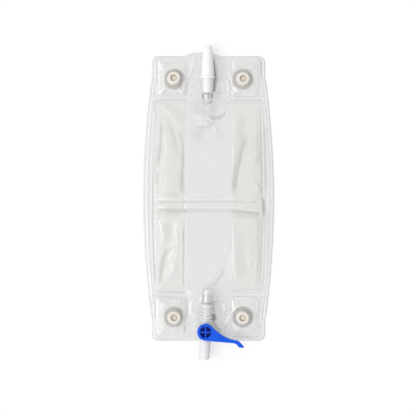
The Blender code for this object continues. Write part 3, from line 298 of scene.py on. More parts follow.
# Creases pressed or folded into the film. Each has its rise, its width on the side that faces
# the lamp, its width on the other side, how much of each end fades out, and its (x, y) points.
CREASES = {
    "upper_left_diagonal": (0.3, 0.9, 3.2, 0.25, (-46.9, 97.1), (-43.5, 93.1), (-37.5, 87.1),
        (-32.9, 80.7), (-29.1, 72.2)),
    "upper_left_hollow": (-1, 6.5, 3.4, 0.35, (-39.5, 82.7), (-32.5, 57.7), (-28.0, 32.7),
        (-26.5, 10.0)),
    "upper_left_side_hollow": (-0.5, 3.2, 7, 0.35, (-46.0, 72.0), (-46.8, 55.0), (-50.0, 34.0),
        (-52.0, 20.0)),
    "upper_left_side_ridge": (0.45, 1, 1.4, 0.15, (-53.0, 90.0), (-53.6, 60.0), (-54.6, 20.0)),
    "left_crease": (-0.45, 1.5, 0.9, 0.04, (-23.8, 100.0), (-24.0, 40.0), (-24.0, -40.0),
        (-24.3, -88.0)),
    "right_crease": (0.1, 1.1, 3, 0.08, (25.3, 98.0), (25.3, 50.0), (23.5, 12.0), (24.2, -20.0),
        (25.5, -68.0)),
    "right_wedge": (-0.5, 5, 2, 0.3, (39.5, 69.7), (34.5, 52.7), (30.5, 37.7), (28.0, 22.7),
        (26.5, 6.7)),
    "right_upper_mark_a": (0.25, 0.9, 1.6, 0.35, (40.1, 38.7), (41.5, 42.7), (44.5, 44.7), (49.5, 38.7)),
    "right_upper_mark_b": (0.3, 0.9, 1.8, 0.3, (40.9, 20.4), (44.5, 19.7), (48.5, 16.1), (52.1, 8.7)),
    "middle_fold_top": (-0.5, 2, 2, 0.06, (-52.0, 2.0), (-20.0, 2.6), (20.0, 2.2), (53.0, 0.5)),
    "middle_fold": (-0.6, 4.6, 2.2, 0.03, (-53.0, -4.6), (-24.0, -5.0), (23.0, -6.4), (38.0, -8.2),
        (54.0, -10.2)),
    "middle_fold_edge": (0.3, 0.9, 1.4, 0.03, (-53.0, -5.4), (-24.0, -5.6), (23.0, -5.8), (38.0, -7.6),
        (54.0, -9.8)),
    "fold_notch": (-0.3, 1.3, 1, 0.4, (-24.0, -1.0), (-24.0, -9.0)),
    "lower_left_ridge": (0.4, 2.6, 4.5, 0.3, (-29.9, -19.3), (-29.7, -43.3), (-33.5, -59.3),
        (-39.5, -76.3)),
    "lower_left_inner": (0.12, 1, 1.6, 0.1, (-26.3, -20.0), (-26.0, -50.0), (-26.0, -84.0)),
    "lower_left_hollow": (-1, 3.4, 5.5, 0.25, (-41.0, -13.0), (-38.5, -28.0), (-41.0, -42.0),
        (-45.0, -60.0), (-47.5, -84.0)),
    "lower_right_streak_a": (0.2, 1, 1.5, 0.3, (48.9, -22.9), (47.1, -30.3), (46.7, -40.3)),
    "lower_right_streak_b": (0.25, 1, 1.8, 0.3, (45.9, -39.9), (41.1, -45.9), (39.3, -53.3),
        (40.1, -65.3)),
    "lower_right_streak_c": (0.2, 1, 1.6, 0.3, (45.5, -44.3), (43.5, -52.3), (40.9, -64.3)),
    "lower_right_cup": (0.2, 1, 1.4, 0.12, (24.6, -19.3), (25.8, -68.3), (27.5, -80.3), (33.5, -85.0),
        (41.5, -85.2), (46.5, -77.3), (49.5, -25.3)),
    "sleeve_crescent_a": (0.45, 0.9, 1.4, 0.3, (-1.7, 94.0), (2.0, 91.5), (5.5, 89.4)),
    "sleeve_crescent_b": (0.45, 0.9, 1.4, 0.3, (-1.7, 87.7), (1.0, 84.6), (4.0, 82.2)),
    "sleeve_crescent_c": (0.5, 0.9, 1.8, 0.3, (20.9, 93.3), (17.8, 86.0), (12.8, 82.7)),
    "sleeve_cup": (-0.55, 2.4, 2.4, 0.2, (-3.5, 98.0), (-2.5, 88.0), (3.0, 82.0), (9.5, 80.0),
        (16.0, 83.0), (21.5, 92.0), (24.5, 99.0)),
    "inlet_bright_patch": (0.04, 1.5, 2.5, 0.4, (3.5, 75.5), (8.0, 72.0)),
    "inlet_left_mark": (0.4, 0.9, 1.4, 0.4, (-9.5, 80.5), (-7.5, 77.5)),
    "inlet_blob": (-0.5, 4, 4, 0.4, (-15.0, 78.0), (-14.0, 70.0), (-9.0, 66.0)),
    "outlet_strip_right": (-0.5, 1.6, 3, 0.25, (5.0, -86.5), (13.5, -72.3), (17.5, -60.0),
        (17.5, -52.0)),
    "outlet_strip_left": (0.35, 3, 1.6, 0.3, (-1.0, -84.0), (7.5, -70.0), (10.5, -59.0)),
    "left_neck_fold": (0.4, 1.7, 1.8, 0.15, (-13.5, 145.7), (-17.5, 130.7), (-21.5, 123.7),
        (-23.5, 118.7)),
    "left_neck_hollow": (-0.6, 1.7, 1.1, 0.2, (-22.3, 121.0), (-22.7, 112.0), (-22.9, 105.5)),
    "right_neck_fold": (0.3, 1, 1.8, 0.2, (18.0, 131.0), (22.5, 122.7), (26.5, 114.2), (33.5, 109.7)),
    "right_neck_hollow": (-0.5, 1.6, 1.1, 0.2, (16.0, 132.0), (20.5, 126.7), (23.5, 119.7),
        (24.5, 110.7)),
    "top_left_pocket_a": (0.15, 1.2, 2, 0.3, (-49.5, 141.7), (-44.5, 135.0), (-42.0, 131.0)),
    "top_left_pocket_b": (0.2, 1, 2, 0.3, (-23.8, 141.5), (-26.0, 136.0), (-29.0, 132.5)),
    "top_left_pocket_c": (0.25, 1.1, 2.2, 0.3, (-49.5, 108.5), (-45.0, 112.0), (-42.5, 115.5)),
    "top_left_pocket_d": (0.25, 1, 1.8, 0.3, (-24.0, 108.2), (-28.0, 112.0), (-31.0, 113.5)),
    "top_right_pocket_a": (0.23, 1, 2, 0.3, (50.5, 141.0), (46.0, 134.0), (43.5, 131.0)),
    "top_right_pocket_b": (0.12, 1, 1.8, 0.3, (24.5, 141.0), (26.0, 134.5), (30.0, 131.0)),
    "top_right_pocket_c": (0.25, 1.2, 2, 0.3, (50.5, 108.0), (45.0, 113.0), (42.0, 115.5)),
    "top_right_pocket_d": (0.15, 1, 2, 0.3, (25.0, 118.0), (27.0, 113.5), (33.0, 109.5)),
    "bottom_left_pocket_a": (0.3, 1.2, 2, 0.3, (-26.0, -98.0), (-30.5, -100.5), (-36.0, -102.0)),
    "bottom_left_pocket_b": (0.7, 1.6, 1.6, 0.2, (-24.6, -104.0), (-23.6, -113.0), (-25.5, -123.0),
        (-25.0, -131.0)),
    "bottom_left_pocket_c": (0.25, 1.1, 2.2, 0.3, (-51.0, -130.0), (-45.0, -124.5), (-41.0, -122.5)),
    "bottom_left_pocket_d": (0.25, 1.2, 2, 0.3, (-28.0, -127.0), (-32.0, -124.0), (-36.5, -126.0)),
    "bottom_right_pocket_a": (0.4, 1, 1.8, 0.3, (24.0, -98.0), (26.0, -105.0), (28.5, -109.0)),
    "bottom_right_pocket_b": (0.3, 1.3, 1.8, 0.2, (48.0, -97.5), (46.6, -107.0), (46.6, -119.0),
        (48.6, -129.0)),
    "bottom_right_pocket_c": (0.3, 1.1, 2.4, 0.3, (26.5, -131.0), (31.0, -124.0), (34.0, -121.5)),
    "bottom_right_pocket_d": (0.6, 1.1, 2.2, 0.3, (16.0, -121.0), (20.0, -117.0), (23.5, -111.0)),
    "outlet_left_flick": (0.06, 1, 1.8, 0.3, (-23.0, -108.5), (-20.5, -113.0), (-17.0, -117.0)),
}


# Strokes painted on the film. Grey ones are painted shade on the dark flanks of folds, creases and
# welds, and painted shadows that the cap, barrel, coupling and lever cast; some are also the greyer
# tone where the film is doubled or pressed. White ones are painted highlights along folds and creases,
# and also stand for the whitening of creased film.
# Each has its width (or its widths on the lit side and the other), how much greyer it is (or
# whiter, below zero), how much of each end fades out, and its (x, y) points.
PAINTED_LIGHT_AND_TONE = {
    "left_crease_line": (0.9, 0.1, 0.04, (-23.8, 102.7), (-23.9, 52.7), (-24.0, 2.7), (-24.1, -47.3),
        (-24.2, -87.3)),
    "left_crease_fold": (0.9, 0.08, 0.25, (-24.0, 2.7), (-24.0, -11.3)),
    "left_centre_band": (2, -0.06, 0.2, (-21.5, 102.7), (-21.0, 52.7), (-21.5, 7.7)),
    "fold_band": (2.3, 0.14, 0.05, (-52.5, -8.3), (-24.5, -8.5), (23.5, -8.9), (38.5, -9.9),
        (52.5, -10.9)),
    "fold_line_high": (1.2, 0.09, 0.06, (-54.0, 1.1), (-38.5, 0.3), (-24.5, 0.7), (23.5, 1.1),
        (51.5, 0.1)),
    "fold_edge": (0.8, 0.09, 0.05, (-52.5, -6.2), (-24.5, -6.5), (23.5, -6.7), (38.5, -8.5),
        (52.5, -10.3)),
    "fold_gleam_a": (0.8, -0.5, 0.05, (-54.0, -4.7), (-24.5, -4.7), (23.5, -4.9), (38.5, -6.5),
        (52.5, -8.9)),
    "fold_gleam_b": (0.8, -0.33, 0.15, (-50.5, -1.9), (-24.5, -2.1), (23.5, -1.9), (50.5, -2.7)),
    "fold_gleam_c": (0.8, -0.35, 0.06, (-54.0, 3.3), (-36.5, 4.1), (-24.5, 3.1), (23.5, 3.7),
        (51.0, 2.3)),
    "outlet_fold": (2.4, 0.26, 0.2, (0.5, -86.3), (7.5, -79.3), (14.0, -70.3), (16.5, -59.3)),
    "outlet_fold_edge": (0.9, 0.16, 0.2, (5.0, -87.3), (10.5, -81.8), (17.0, -71.3), (19.1, -59.3)),
    "inlet_teardrop": (3.2, 0.24, 0.3, (0.5, 101.2), (1.5, 98.7), (2.0, 96.7)),
    "inlet_cloud": (5, 0.09, 0.3, (-13.5, 72.7), (-3.5, 68.7)),
    "inlet_patch": (1.7, -0.95, 0.35, (3.0, 74.5), (8.0, 73.1)),
    "inlet_crescent_a": (0.9, -0.85, 0.25, (-1.7, 92.7), (1.5, 90.1), (4.9, 88.5)),
    "inlet_crescent_b": (0.9, -0.8, 0.25, (-2.7, 88.7), (-1.1, 84.7), (1.3, 82.3), (4.5, 80.7)),
    "inlet_crescent_c": (0.9, -0.75, 0.25, (20.5, 94.7), (19.9, 91.2), (17.5, 86.2), (12.8, 82.7)),
    "inlet_side_left": (0.8, 0.89, 0.12, (-5.9, 108.9), (-5.9, 103.1)),
    "inlet_side_right": (0.8, 1.03, 0.12, (3.6, 108.9), (3.7, 103.1)),
    "inlet_foot": (0.8, 0.16, 0.2, (-9.5, 103.3), (-5.5, 103.1)),
    "left_neck_gleam": (1.7, -0.57, 0.15, (-13.5, 145.7), (-17.5, 130.7), (-21.1, 124.2), (-24.5, 118.7),
        (-25.3, 107.7)),
    "left_neck_fold_line": (0.8, 0.24, 0.15, (-11.5, 143.7), (-15.0, 131.7), (-18.7, 123.2),
        (-21.9, 118.7)),
    "right_neck_gleam": (0.8, -0.35, 0.2, (15.5, 132.7), (21.1, 125.7), (23.5, 119.7), (25.0, 113.7)),
    "right_neck_line": (0.8, 0.2, 0.2, (18.5, 126.7), (22.5, 119.2), (23.1, 110.7)),
    "inlet_arc_a": (0.8, -0.33, 0.25, (5.0, 102.2), (11.0, 99.3), (14.0, 94.3), (11.9, 88.7)),
    "inlet_arc_b": (0.9, 0.07, 0.3, (6.5, 99.3), (10.1, 96.1), (9.9, 91.3)),
    "inlet_centre_gleam": (0.8, -0.75, 0.12, (-2.0, 108.7), (-1.9, 101.1)),
    "inlet_side_white_left": (0.8, -0.88, 0.15, (-7.7, 108.2), (-7.7, 103.3)),
    "inlet_side_white_right": (0.8, -0.85, 0.15, (4.7, 108.5), (4.7, 103.5)),
    "outlet_tube_shade_left": (0.8, 0.36, 0.15, (-5.7, -91.9), (-5.8, -99.3)),
    "outlet_tube_shade_right": (0.9, 0.4, 0.15, (4.1, -91.9), (4.0, -99.3)),
    "outlet_tube_end": (0.8, -0.5, 0.2, (-5.5, -87.9), (-0.9, -86.7), (3.7, -87.9)),
    "outlet_tube_collar": (0.8, 0.13, 0.1, (-6.1, -92.5), (4.3, -92.5)),
    "tl_top_shade": (1.1, 0.13, 0.2, (-37.5, 144.7), (-30.5, 144.5), (-20.5, 144.7)),
    "tl_top_light": (0.8, -0.4, 0.1, (-48.5, 142.5), (-36.5, 142.1), (-24.5, 142.1)),
    "tl_left_shade": (1.7, 0.1, 0.25, (-45.9, 141.2), (-44.9, 135.7), (-43.5, 129.7)),
    "tl_left_light": (0.8, -0.28, 0.15, (-49.9, 141.7), (-48.2, 136.7), (-46.2, 130.7), (-44.5, 125.7),
        (-43.9, 118.7)),
    "tl_left_facet": (1.4, 0.09, 0.25, (-47.9, 125.7), (-46.9, 118.7), (-47.7, 110.7)),
    "tl_left_edge": (0.8, -0.17, 0.1, (-50.2, 138.7), (-50.1, 108.7)),
    "tl_low_light": (0.8, -0.4, 0.25, (-49.0, 108.7), (-45.5, 113.2), (-41.5, 115.7)),
    "tl_low_facet": (1.6, 0.1, 0.25, (-44.5, 110.2), (-37.5, 112.7), (-30.5, 109.7)),
    "tl_low_line": (0.8, 0.12, 0.25, (-46.5, 107.3), (-38.5, 107.1), (-28.5, 107.1)),
    "tl_low_right_light": (1.1, -0.45, 0.25, (-24.5, 108.2), (-28.5, 111.7), (-32.5, 114.7)),
    "tl_right_light": (1, -0.4, 0.1, (-24.9, 141.7), (-25.3, 130.7), (-25.5, 108.7)),
    "tl_neck_shade": (1.5, 0.39, 0.2, (-20.9, 121.7), (-22.3, 115.7), (-22.9, 110.7), (-22.6, 105.7)),
    "tr_top_line": (0.8, 0.13, 0.15, (22.5, 143.0), (29.5, 143.3), (37.5, 144.1), (47.5, 144.0)),
    "tr_top_light": (0.9, -0.25, 0.15, (19.5, 141.4), (31.5, 141.5), (45.5, 142.4)),
    "tr_corner_shade": (1.3, 0.15, 0.25, (49.3, 144.2), (48.9, 141.2), (49.9, 137.7)),
    "tr_right_line_a": (0.9, 0.13, 0.2, (52.5, 142.2), (53.3, 138.7), (53.0, 133.7)),
    "tr_right_line_b": (0.9, 0.12, 0.15, (50.5, 132.7), (50.5, 122.7), (51.5, 114.7), (53.1, 108.7),
        (53.5, 102.7)),
    "tr_right_light_a": (0.8, -0.4, 0.2, (50.5, 136.7), (47.5, 133.7), (45.7, 129.7), (45.1, 122.7)),
    "tr_right_light_b": (0.9, -0.35, 0.2, (47.9, 130.7), (48.1, 122.7), (47.1, 114.7)),
    "tr_right_light_c": (0.8, -0.37, 0.15, (52.2, 128.7), (52.7, 120.7), (52.1, 108.7), (50.7, 104.7)),
    "tr_low_left_light": (0.9, -0.32, 0.12, (21.7, 120.7), (23.7, 115.7), (26.5, 111.7), (31.5, 110.5),
        (41.5, 107.7), (48.5, 106.3)),
    "tr_low_facet": (0.9, 0.12, 0.25, (25.5, 108.9), (30.5, 108.9), (35.5, 107.7)),
    "tr_low_shade": (1.3, 0.15, 0.2, (24.5, 105.7), (32.5, 104.9), (41.5, 104.9), (49.5, 105.7)),
    "tr_left_line": (0.8, 0.09, 0.2, (20.9, 119.7), (20.6, 112.7), (20.7, 105.7)),
    "tr_left_light": (0.8, -0.33, 0.15, (22.3, 116.7), (22.5, 106.7), (20.5, 104.7)),
    "bl_top_line": (0.8, 0.16, 0.08, (-54.5, -88.5), (-43.5, -88.3), (-33.5, -89.1), (-23.5, -89.6)),
    "bl_top_light": (1.1, -0.3, 0.1, (-52.5, -90.9), (-38.5, -91.9), (-25.5, -92.7)),
    "bl_pocket_line": (0.9, 0.17, 0.1, (-54.5, -93.3), (-43.5, -93.6), (-33.5, -94.7), (-24.5, -95.0),
        (-22.5, -96.8), (-22.0, -102.3), (-20.9, -108.3), (-19.0, -113.3)),
    "bl_left_light": (0.8, -0.29, 0.1, (-51.7, -95.3), (-51.5, -112.3), (-51.5, -130.3)),
    "bl_left_line": (0.8, 0.09, 0.1, (-53.2, -96.3), (-53.0, -129.3)),
    "bl_left_facet": (1.2, 0.06, 0.25, (-48.9, -105.3), (-48.9, -120.3)),
    "bl_arc": (0.8, -0.45, 0.2, (-39.2, -100.7), (-37.0, -98.6), (-33.5, -97.6), (-29.5, -97.9),
        (-27.1, -100.3)),
    "bl_arc_low": (0.8, -0.4, 0.25, (-34.1, -102.9), (-32.5, -100.9), (-30.1, -99.3)),
    "bl_top_facet": (1.2, 0.05, 0.2, (-50.5, -97.3), (-40.5, -96.9), (-26.5, -96.3)),
    "bl_right_light": (0.8, -0.55, 0.12, (-26.7, -100.3), (-25.5, -106.3), (-24.2, -112.3),
        (-24.2, -115.3), (-25.1, -122.3), (-25.7, -130.3)),
    "bl_right_line_a": (0.8, 0.16, 0.2, (-23.5, -100.3), (-23.1, -108.3)),
    "bl_right_line_b": (0.8, 0.16, 0.2, (-23.5, -117.3), (-24.1, -123.3), (-24.4, -130.3)),
    "bl_flick": (0.8, -0.42, 0.25, (-23.5, -114.3), (-21.0, -116.3), (-18.0, -119.7)),
    "bl_low_light": (0.8, -0.5, 0.12, (-46.5, -134.0), (-38.5, -133.6), (-30.5, -132.8), (-26.9, -130.3),
        (-25.9, -125.3)),
    "bl_low_diagonal": (0.8, -0.37, 0.25, (-38.5, -131.9), (-35.0, -129.3), (-31.9, -127.7)),
    "bl_low_line": (0.8, 0.13, 0.1, (-48.5, -135.2), (-38.5, -135.4), (-30.5, -134.7), (-23.5, -134.3)),
    "br_top_line": (0.8, 0.14, 0.1, (20.5, -88.8), (31.5, -88.3), (41.5, -88.5), (52.5, -88.8)),
    "br_top_light": (1.1, -0.35, 0.1, (17.5, -93.8), (20.5, -91.9), (27.5, -90.8), (41.5, -90.1),
        (50.5, -89.5), (54.0, -91.3)),
    "br_pocket_line": (0.9, 0.12, 0.15, (23.5, -94.3), (31.5, -93.3), (41.5, -92.9), (50.5, -92.9)),
    "br_left_line": (0.8, 0.14, 0.2, (21.7, -95.8), (21.1, -101.3), (21.0, -108.3)),
    "br_left_light": (0.8, -0.33, 0.2, (23.1, -95.9), (23.2, -101.3), (22.9, -105.3)),
    "br_inner_light": (0.8, -0.55, 0.08, (23.5, -95.5), (31.5, -95.9), (39.5, -96.5), (45.5, -97.3),
        (48.5, -99.3), (48.5, -102.3), (47.5, -109.3), (47.1, -122.3), (49.0, -127.3), (49.0, -129.8),
        (47.0, -132.8)),
    "br_upper_flick": (0.8, -0.5, 0.2, (28.1, -103.1), (25.0, -106.3), (22.5, -110.3), (20.0, -113.9),
        (17.0, -117.3)),
    "br_right_flick": (0.8, -0.33, 0.25, (48.0, -100.3), (45.0, -103.8), (42.5, -107.3)),
    "br_right_facet": (1.5, 0.08, 0.25, (41.5, -122.3), (44.5, -127.3), (47.1, -128.3)),
    "br_low_left_shade": (1.6, 0.14, 0.25, (15.5, -122.8), (21.5, -122.5), (25.5, -120.9)),
    "br_low_left_light": (0.8, -0.4, 0.25, (24.1, -123.9), (26.5, -121.7)),
    "br_low_diagonal": (0.8, -0.33, 0.25, (32.1, -128.3), (35.5, -125.9), (39.5, -122.9)),
    "br_low_line": (0.9, 0.18, 0.15, (17.5, -132.3), (23.5, -132.6), (31.5, -133.8), (43.5, -134.1)),
    "br_bead_shade": (0.9, 0.17, 0.2, (52.1, -100.3), (53.0, -95.8), (54.5, -92.3)),
    "br_bead_line": (0.8, 0.1, 0.15, (53.8, -100.3), (53.8, -117.3)),
    "br_bead_light": (0.8, -0.35, 0.15, (52.5, -104.3), (52.0, -120.3)),
    "br_rim_light": (0.8, -0.33, 0.15, (55.7, -100.3), (56.0, -119.3)),
    "inlet_smile": (2.2, 0.24, 0.2, (-1.0, 86.7), (3.5, 83.7), (9.5, 83.9), (15.0, 87.2), (18.3, 91.7)),
    "inlet_smile_light": (0.8, -0.45, 0.25, (-4.2, 82.2), (-2.5, 79.5), (0.0, 77.9)),
    "inlet_small_arc": (0.95, -0.85, 0.25, (-6.6, 81.7), (-8.1, 79.1), (-7.0, 76.7)),
    "inlet_small_shade": (1.7, 0.22, 0.3, (-1.9, 82.3), (1.9, 80.1)),
    "inlet_left_cloud": (3.2, 0.1, 0.3, (-13.0, 98.7), (-12.0, 86.7)),
    "inlet_low_cloud": (3.6, 0.07, 0.3, (-16.0, 75.7), (-12.5, 66.7), (-6.5, 57.7)),
    # Painted shadow that the coupling casts on the film
    "coupling_shade": (2, 0.6, 0.12, (4.9, -97.3), (5.1, -108.3), (4.9, -118.3)),
    "right_crease_light": (0.8, -0.51, 0.15, (25.1, 94.7), (25.1, 72.7), (24.5, 52.7), (23.8, 36.7),
        (23.4, 20.7)),
    "right_wedge_shade": ((4.6, 0.8), 0.24, 0.2, (40.5, 70.7), (36.1, 57.7), (33.1, 47.7), (30.9, 37.7),
        (28.9, 24.7), (27.1, 6.7)),
    "right_wedge_high": ((3.5, 3.5), 0.09, 0.3, (34.5, 90.7), (32.5, 74.7), (29.5, 56.7)),
    "right_wedge_foot": (1.4, 0.16, 0.25, (25.5, 36.7), (25.1, 22.7), (25.3, 5.7)),
    "right_plateau": (3, -0.16, 0.3, (38.5, 60.7), (40.5, 50.7), (40.5, 42.7)),
    "right_upper_mark": (0.8, -0.59, 0.3, (40.1, 38.7), (41.5, 42.7), (44.5, 44.7)),
    "right_upper_tail": (0.8, 0.09, 0.25, (45.5, 44.1), (48.5, 39.2), (51.5, 35.2)),
    "right_double_light": (0.8, -0.52, 0.2, (40.9, 20.4), (44.5, 19.7), (48.5, 16.1), (51.1, 10.7)),
    "right_double_low": (0.8, -0.36, 0.25, (42.5, 18.7), (46.0, 15.1), (49.1, 12.7)),
    "right_seam_line": (0.8, 0.29, 0.06, (51.5, 104.7), (52.0, 72.7), (52.5, 42.7), (53.1, 17.7),
        (54.3, 2.7), (54.9, -9.3), (54.3, -19.3), (53.6, -37.3)),
    "right_seam_notch": (1, 0.5, 0.25, (54.4, 6.7), (55.0, -5.3), (54.7, -15.3)),
    "right_seam_low": (0.8, 0.2, 0.1, (53.4, -35.3), (52.5, -59.3), (52.1, -75.3), (53.5, -85.3)),
    "right_seam_soft": (0.9, 0.12, 0.15, (48.5, 96.7), (48.9, 62.7), (49.5, 36.7)),
    "right_seam_light": (0.8, -0.2, 0.1, (50.5, 102.7), (50.8, 62.7), (51.7, 12.7)),
    "right_flange_band": (1.4, 0.13, 0.2, (56.1, 82.7), (57.1, 42.7), (57.7, 6.7)),
    "right_flange_low": (1.1, 0.1, 0.2, (59.0, -2.3), (59.5, -37.3), (58.0, -59.3)),
    "left_seam_line": (0.8, 0.23, 0.05, (-51.5, 105.7), (-52.9, 72.7), (-54.1, 42.7), (-55.1, 6.7),
        (-55.0, -27.3), (-54.1, -59.3), (-52.9, -83.3)),
    "left_crescent_a": ((2.2, 0.9), 0.3, 0.25, (-46.9, 86.7), (-46.7, 67.7), (-47.9, 52.7),
        (-50.1, 39.7), (-51.9, 31.7)),
    "left_crescent_b": (1.2, 0.2, 0.2, (-51.9, 31.2), (-50.9, 24.7), (-52.9, 17.7)),
    "left_diagonal_light": (0.8, -0.54, 0.12, (-46.9, 97.1), (-43.5, 93.1), (-37.5, 87.1), (-32.9, 80.7),
        (-29.1, 72.2)),
    "left_diagonal_low": (0.8, -0.16, 0.25, (-40.5, 86.7), (-35.5, 78.7), (-31.5, 71.7)),
    "left_diagonal_head": (1, -0.5, 0.3, (-46.5, 95.7), (-44.9, 92.1)),
    "left_brown": (3.2, 0.07, 0.3, (-36.5, 96.7), (-30.5, 89.7), (-26.5, 78.7)),
    "left_line_light": (0.8, -0.17, 0.25, (-43.5, 94.3), (-36.5, 96.7), (-27.5, 99.1)),
    "left_slope_edge": ((0.8, 3.2), 0.15, 0.2, (-42.5, 83.7), (-37.9, 71.7), (-33.7, 59.7),
        (-30.1, 46.7), (-28.3, 37.7)),
    "left_band_upper": ((2.6, 1), 0.17, 0.25, (-28.5, 74.7), (-25.9, 60.7), (-25.1, 46.7)),
    "left_band_dark": ((2.4, 1.3), 0.3, 0.2, (-25.5, 52.7), (-25.6, 37.7), (-26.3, 24.7), (-26.3, 6.7)),
    "left_foot_shade": (2.2, 0.08, 0.2, (-48.5, 7.2), (-38.5, 8.7), (-26.5, 7.2)),
    "left_foot_light": (0.8, -0.3, 0.3, (-53.9, 3.7), (-51.5, 7.7), (-50.5, 10.7)),
    "lower_left_band": (2, 0.05, 0.08, (-53.5, -6.9), (-38.5, -7.9), (-24.5, -8.3)),
    "lower_left_band_soft": (2.4, 0.07, 0.15, (-51.5, -12.3), (-38.5, -13.3), (-25.5, -10.9)),
    "lower_left_side_light": (0.8, -0.41, 0.2, (-52.5, -14.3), (-48.5, -20.3), (-47.1, -29.3),
        (-45.9, -40.3)),
    "lower_left_brown": (4.2, 0.08, 0.3, (-42.5, -18.3), (-40.5, -28.3), (-38.5, -37.3)),
    "lower_left_lip_shade": (1.3, 0.08, 0.25, (-43.5, -37.7), (-37.5, -37.3), (-32.5, -37.5)),
    "lower_left_lip": (0.8, -0.36, 0.2, (-46.5, -43.9), (-40.5, -40.9), (-32.1, -38.9)),
    "lower_left_crescent": (1.7, 0.25, 0.2, (-34.5, -43.7), (-41.5, -47.3), (-44.9, -55.3),
        (-46.3, -65.3), (-47.9, -75.3), (-50.1, -84.3)),
    "lower_left_crescent_edge": (0.8, -0.3, 0.2, (-32.5, -44.3), (-38.5, -52.3), (-41.1, -60.3)),
    "lower_left_crest_left": (0.8, -0.35, 0.2, (-31.5, -19.3), (-33.1, -24.3), (-32.3, -34.3),
        (-32.5, -43.3)),
    "lower_left_crest_top": (1.3, -0.32, 0.25, (-31.5, -18.9), (-28.5, -23.3), (-27.5, -28.3)),
    "lower_left_crest_right": (0.8, -0.35, 0.2, (-27.7, -25.3), (-27.1, -37.3), (-27.3, -51.3),
        (-28.9, -59.3)),
    "lower_left_crest_dip": (0.8, 0.05, 0.25, (-29.9, -33.3), (-29.7, -47.3), (-30.9, -55.3)),
    "lower_left_blaze": (1.5, -0.44, 0.25, (-31.9, -56.3), (-34.3, -63.3), (-36.9, -69.9),
        (-39.9, -76.9)),
    "lower_left_plateau": (4.6, -0.14, 0.25, (-31.5, -59.3), (-33.5, -72.3), (-36.5, -83.3)),
    "lower_left_line_shade": (0.9, 0.14, 0.15, (-25.1, -23.3), (-25.3, -47.3), (-25.5, -85.3)),
    "lower_left_foot": (0.8, -0.39, 0.08, (-51.5, -86.3), (-38.5, -86.7), (-24.5, -87.1)),
    "lower_right_band": (0.9, 0.13, 0.06, (23.5, -7.9), (36.5, -9.7), (52.5, -11.1)),
    "lower_right_band_soft": (2.2, 0.1, 0.12, (24.5, -12.3), (37.5, -13.7), (49.5, -14.3)),
    "lower_right_arc": (0.8, -0.24, 0.2, (27.1, -17.9), (34.5, -19.3), (40.5, -18.5), (46.5, -15.9)),
    "lower_right_inner": (4, 0.06, 0.15, (31.5, -25.3), (32.5, -47.3), (33.5, -77.3)),
    "lower_right_inner_b": (3, 0.05, 0.3, (40.5, -22.3), (41.5, -33.3)),
    "lower_right_side_light": (0.95, -0.34, 0.1, (23.5, -16.3), (24.5, -32.3), (25.1, -47.3),
        (25.5, -62.3), (26.9, -74.3), (29.5, -81.3), (32.5, -84.7)),
    "lower_right_loop_left": (0.8, -0.4, 0.15, (48.9, -22.9), (47.1, -30.3), (46.7, -40.3)),
    "lower_right_loop_right": (0.8, -0.32, 0.15, (49.1, -23.3), (50.7, -31.3), (51.1, -40.3),
        (49.5, -47.3)),
    "lower_right_streak_left": (0.8, -0.48, 0.15, (45.9, -39.9), (41.1, -45.9), (39.3, -53.3),
        (40.1, -65.3)),
    "lower_right_streak_right": (0.8, -0.4, 0.15, (45.5, -44.3), (43.5, -52.3), (40.9, -64.3)),
    "lower_right_tail": (0.8, -0.39, 0.1, (49.5, -45.3), (48.1, -53.3), (46.9, -62.3), (45.9, -72.3),
        (44.3, -80.3), (40.5, -84.9), (35.5, -85.7)),
    "lower_right_edge_shade": (0.9, 0.1, 0.2, (49.1, -59.3), (49.5, -72.3), (50.5, -82.3)),
    "left_plateau": (3.6, -0.12, 0.25, (-44.0, 76.7), (-40.5, 57.7), (-37.5, 37.7), (-37.5, 17.7)),
    # Painted shadows that the cap and barrel cast on the film, on both their sides
    "cap_shade": (1.8, 0.9, 0.06, (3.9, 146.2), (4.6, 140.7), (5.4, 134.7), (6.0, 128.7), (6.3, 122.7),
        (5.8, 116.7), (5.2, 109.7)),
    "cap_left_shade": (0.8, 0.16, 0.2, (-8.3, 145.7), (-8.7, 132.7), (-8.1, 124.7)),
    "barrel_left_shade": (0.8, 0.24, 0.15, (-7.5, 122.7), (-7.5, 110.7)),
    "cap_broad_shade": (2.6, 0.19, 0.25, (9.0, 142.7), (9.5, 127.7), (10.0, 112.7)),
    # Painted shadow that the lever and coupling cast on the film
    "lever_deep_shade": (4.6, 0.75, 0.15, (3.7, -110.3), (4.9, -118.8), (7.9, -125.3), (14.0, -130.8)),
    "outlet_dot_a": (0.9, 0.41, 0.3, (-5.6, -91.2), (-5.6, -92.2)),
    "outlet_dot_b": (0.9, 0.41, 0.3, (3.8, -91.2), (3.8, -92.2)),
    "outlet_dot_c": (0.9, 0.41, 0.3, (-5.8, -97.2), (-5.8, -98.2)),
    "outlet_dot_d": (0.9, 0.41, 0.3, (3.5, -97.2), (3.5, -98.2)),
    "outlet_white_left": (0.8, -0.96, 0.12, (-7.8, -90.8), (-8.0, -99.3)),
    "outlet_white_right": (0.8, -0.5, 0.12, (5.8, -90.8), (5.6, -99.3)),
    "outlet_centre_gleam": (0.8, -0.53, 0.1, (-2.1, -85.6), (-2.5, -98.8)),
    "outlet_tube_core": (1.2, 0.15, 0.2, (0.7, -90.8), (0.3, -98.1)),
    "inlet_core": (1.1, 0.42, 0.2, (-0.3, 108.7), (-0.5, 101.7)),
    "inlet_far_spot": (0.9, -0.55, 0.3, (-15.9, 79.1), (-13.9, 76.9)),
    "inlet_dark_arc": (1.3, 0.15, 0.25, (-15.5, 77.9), (-9.5, 75.3), (-1.5, 75.9), (3.5, 78.1),
        (5.8, 81.1)),
    "inlet_right_wedge": (1.4, -0.5, 0.3, (7.3, 100.7), (9.1, 95.7)),
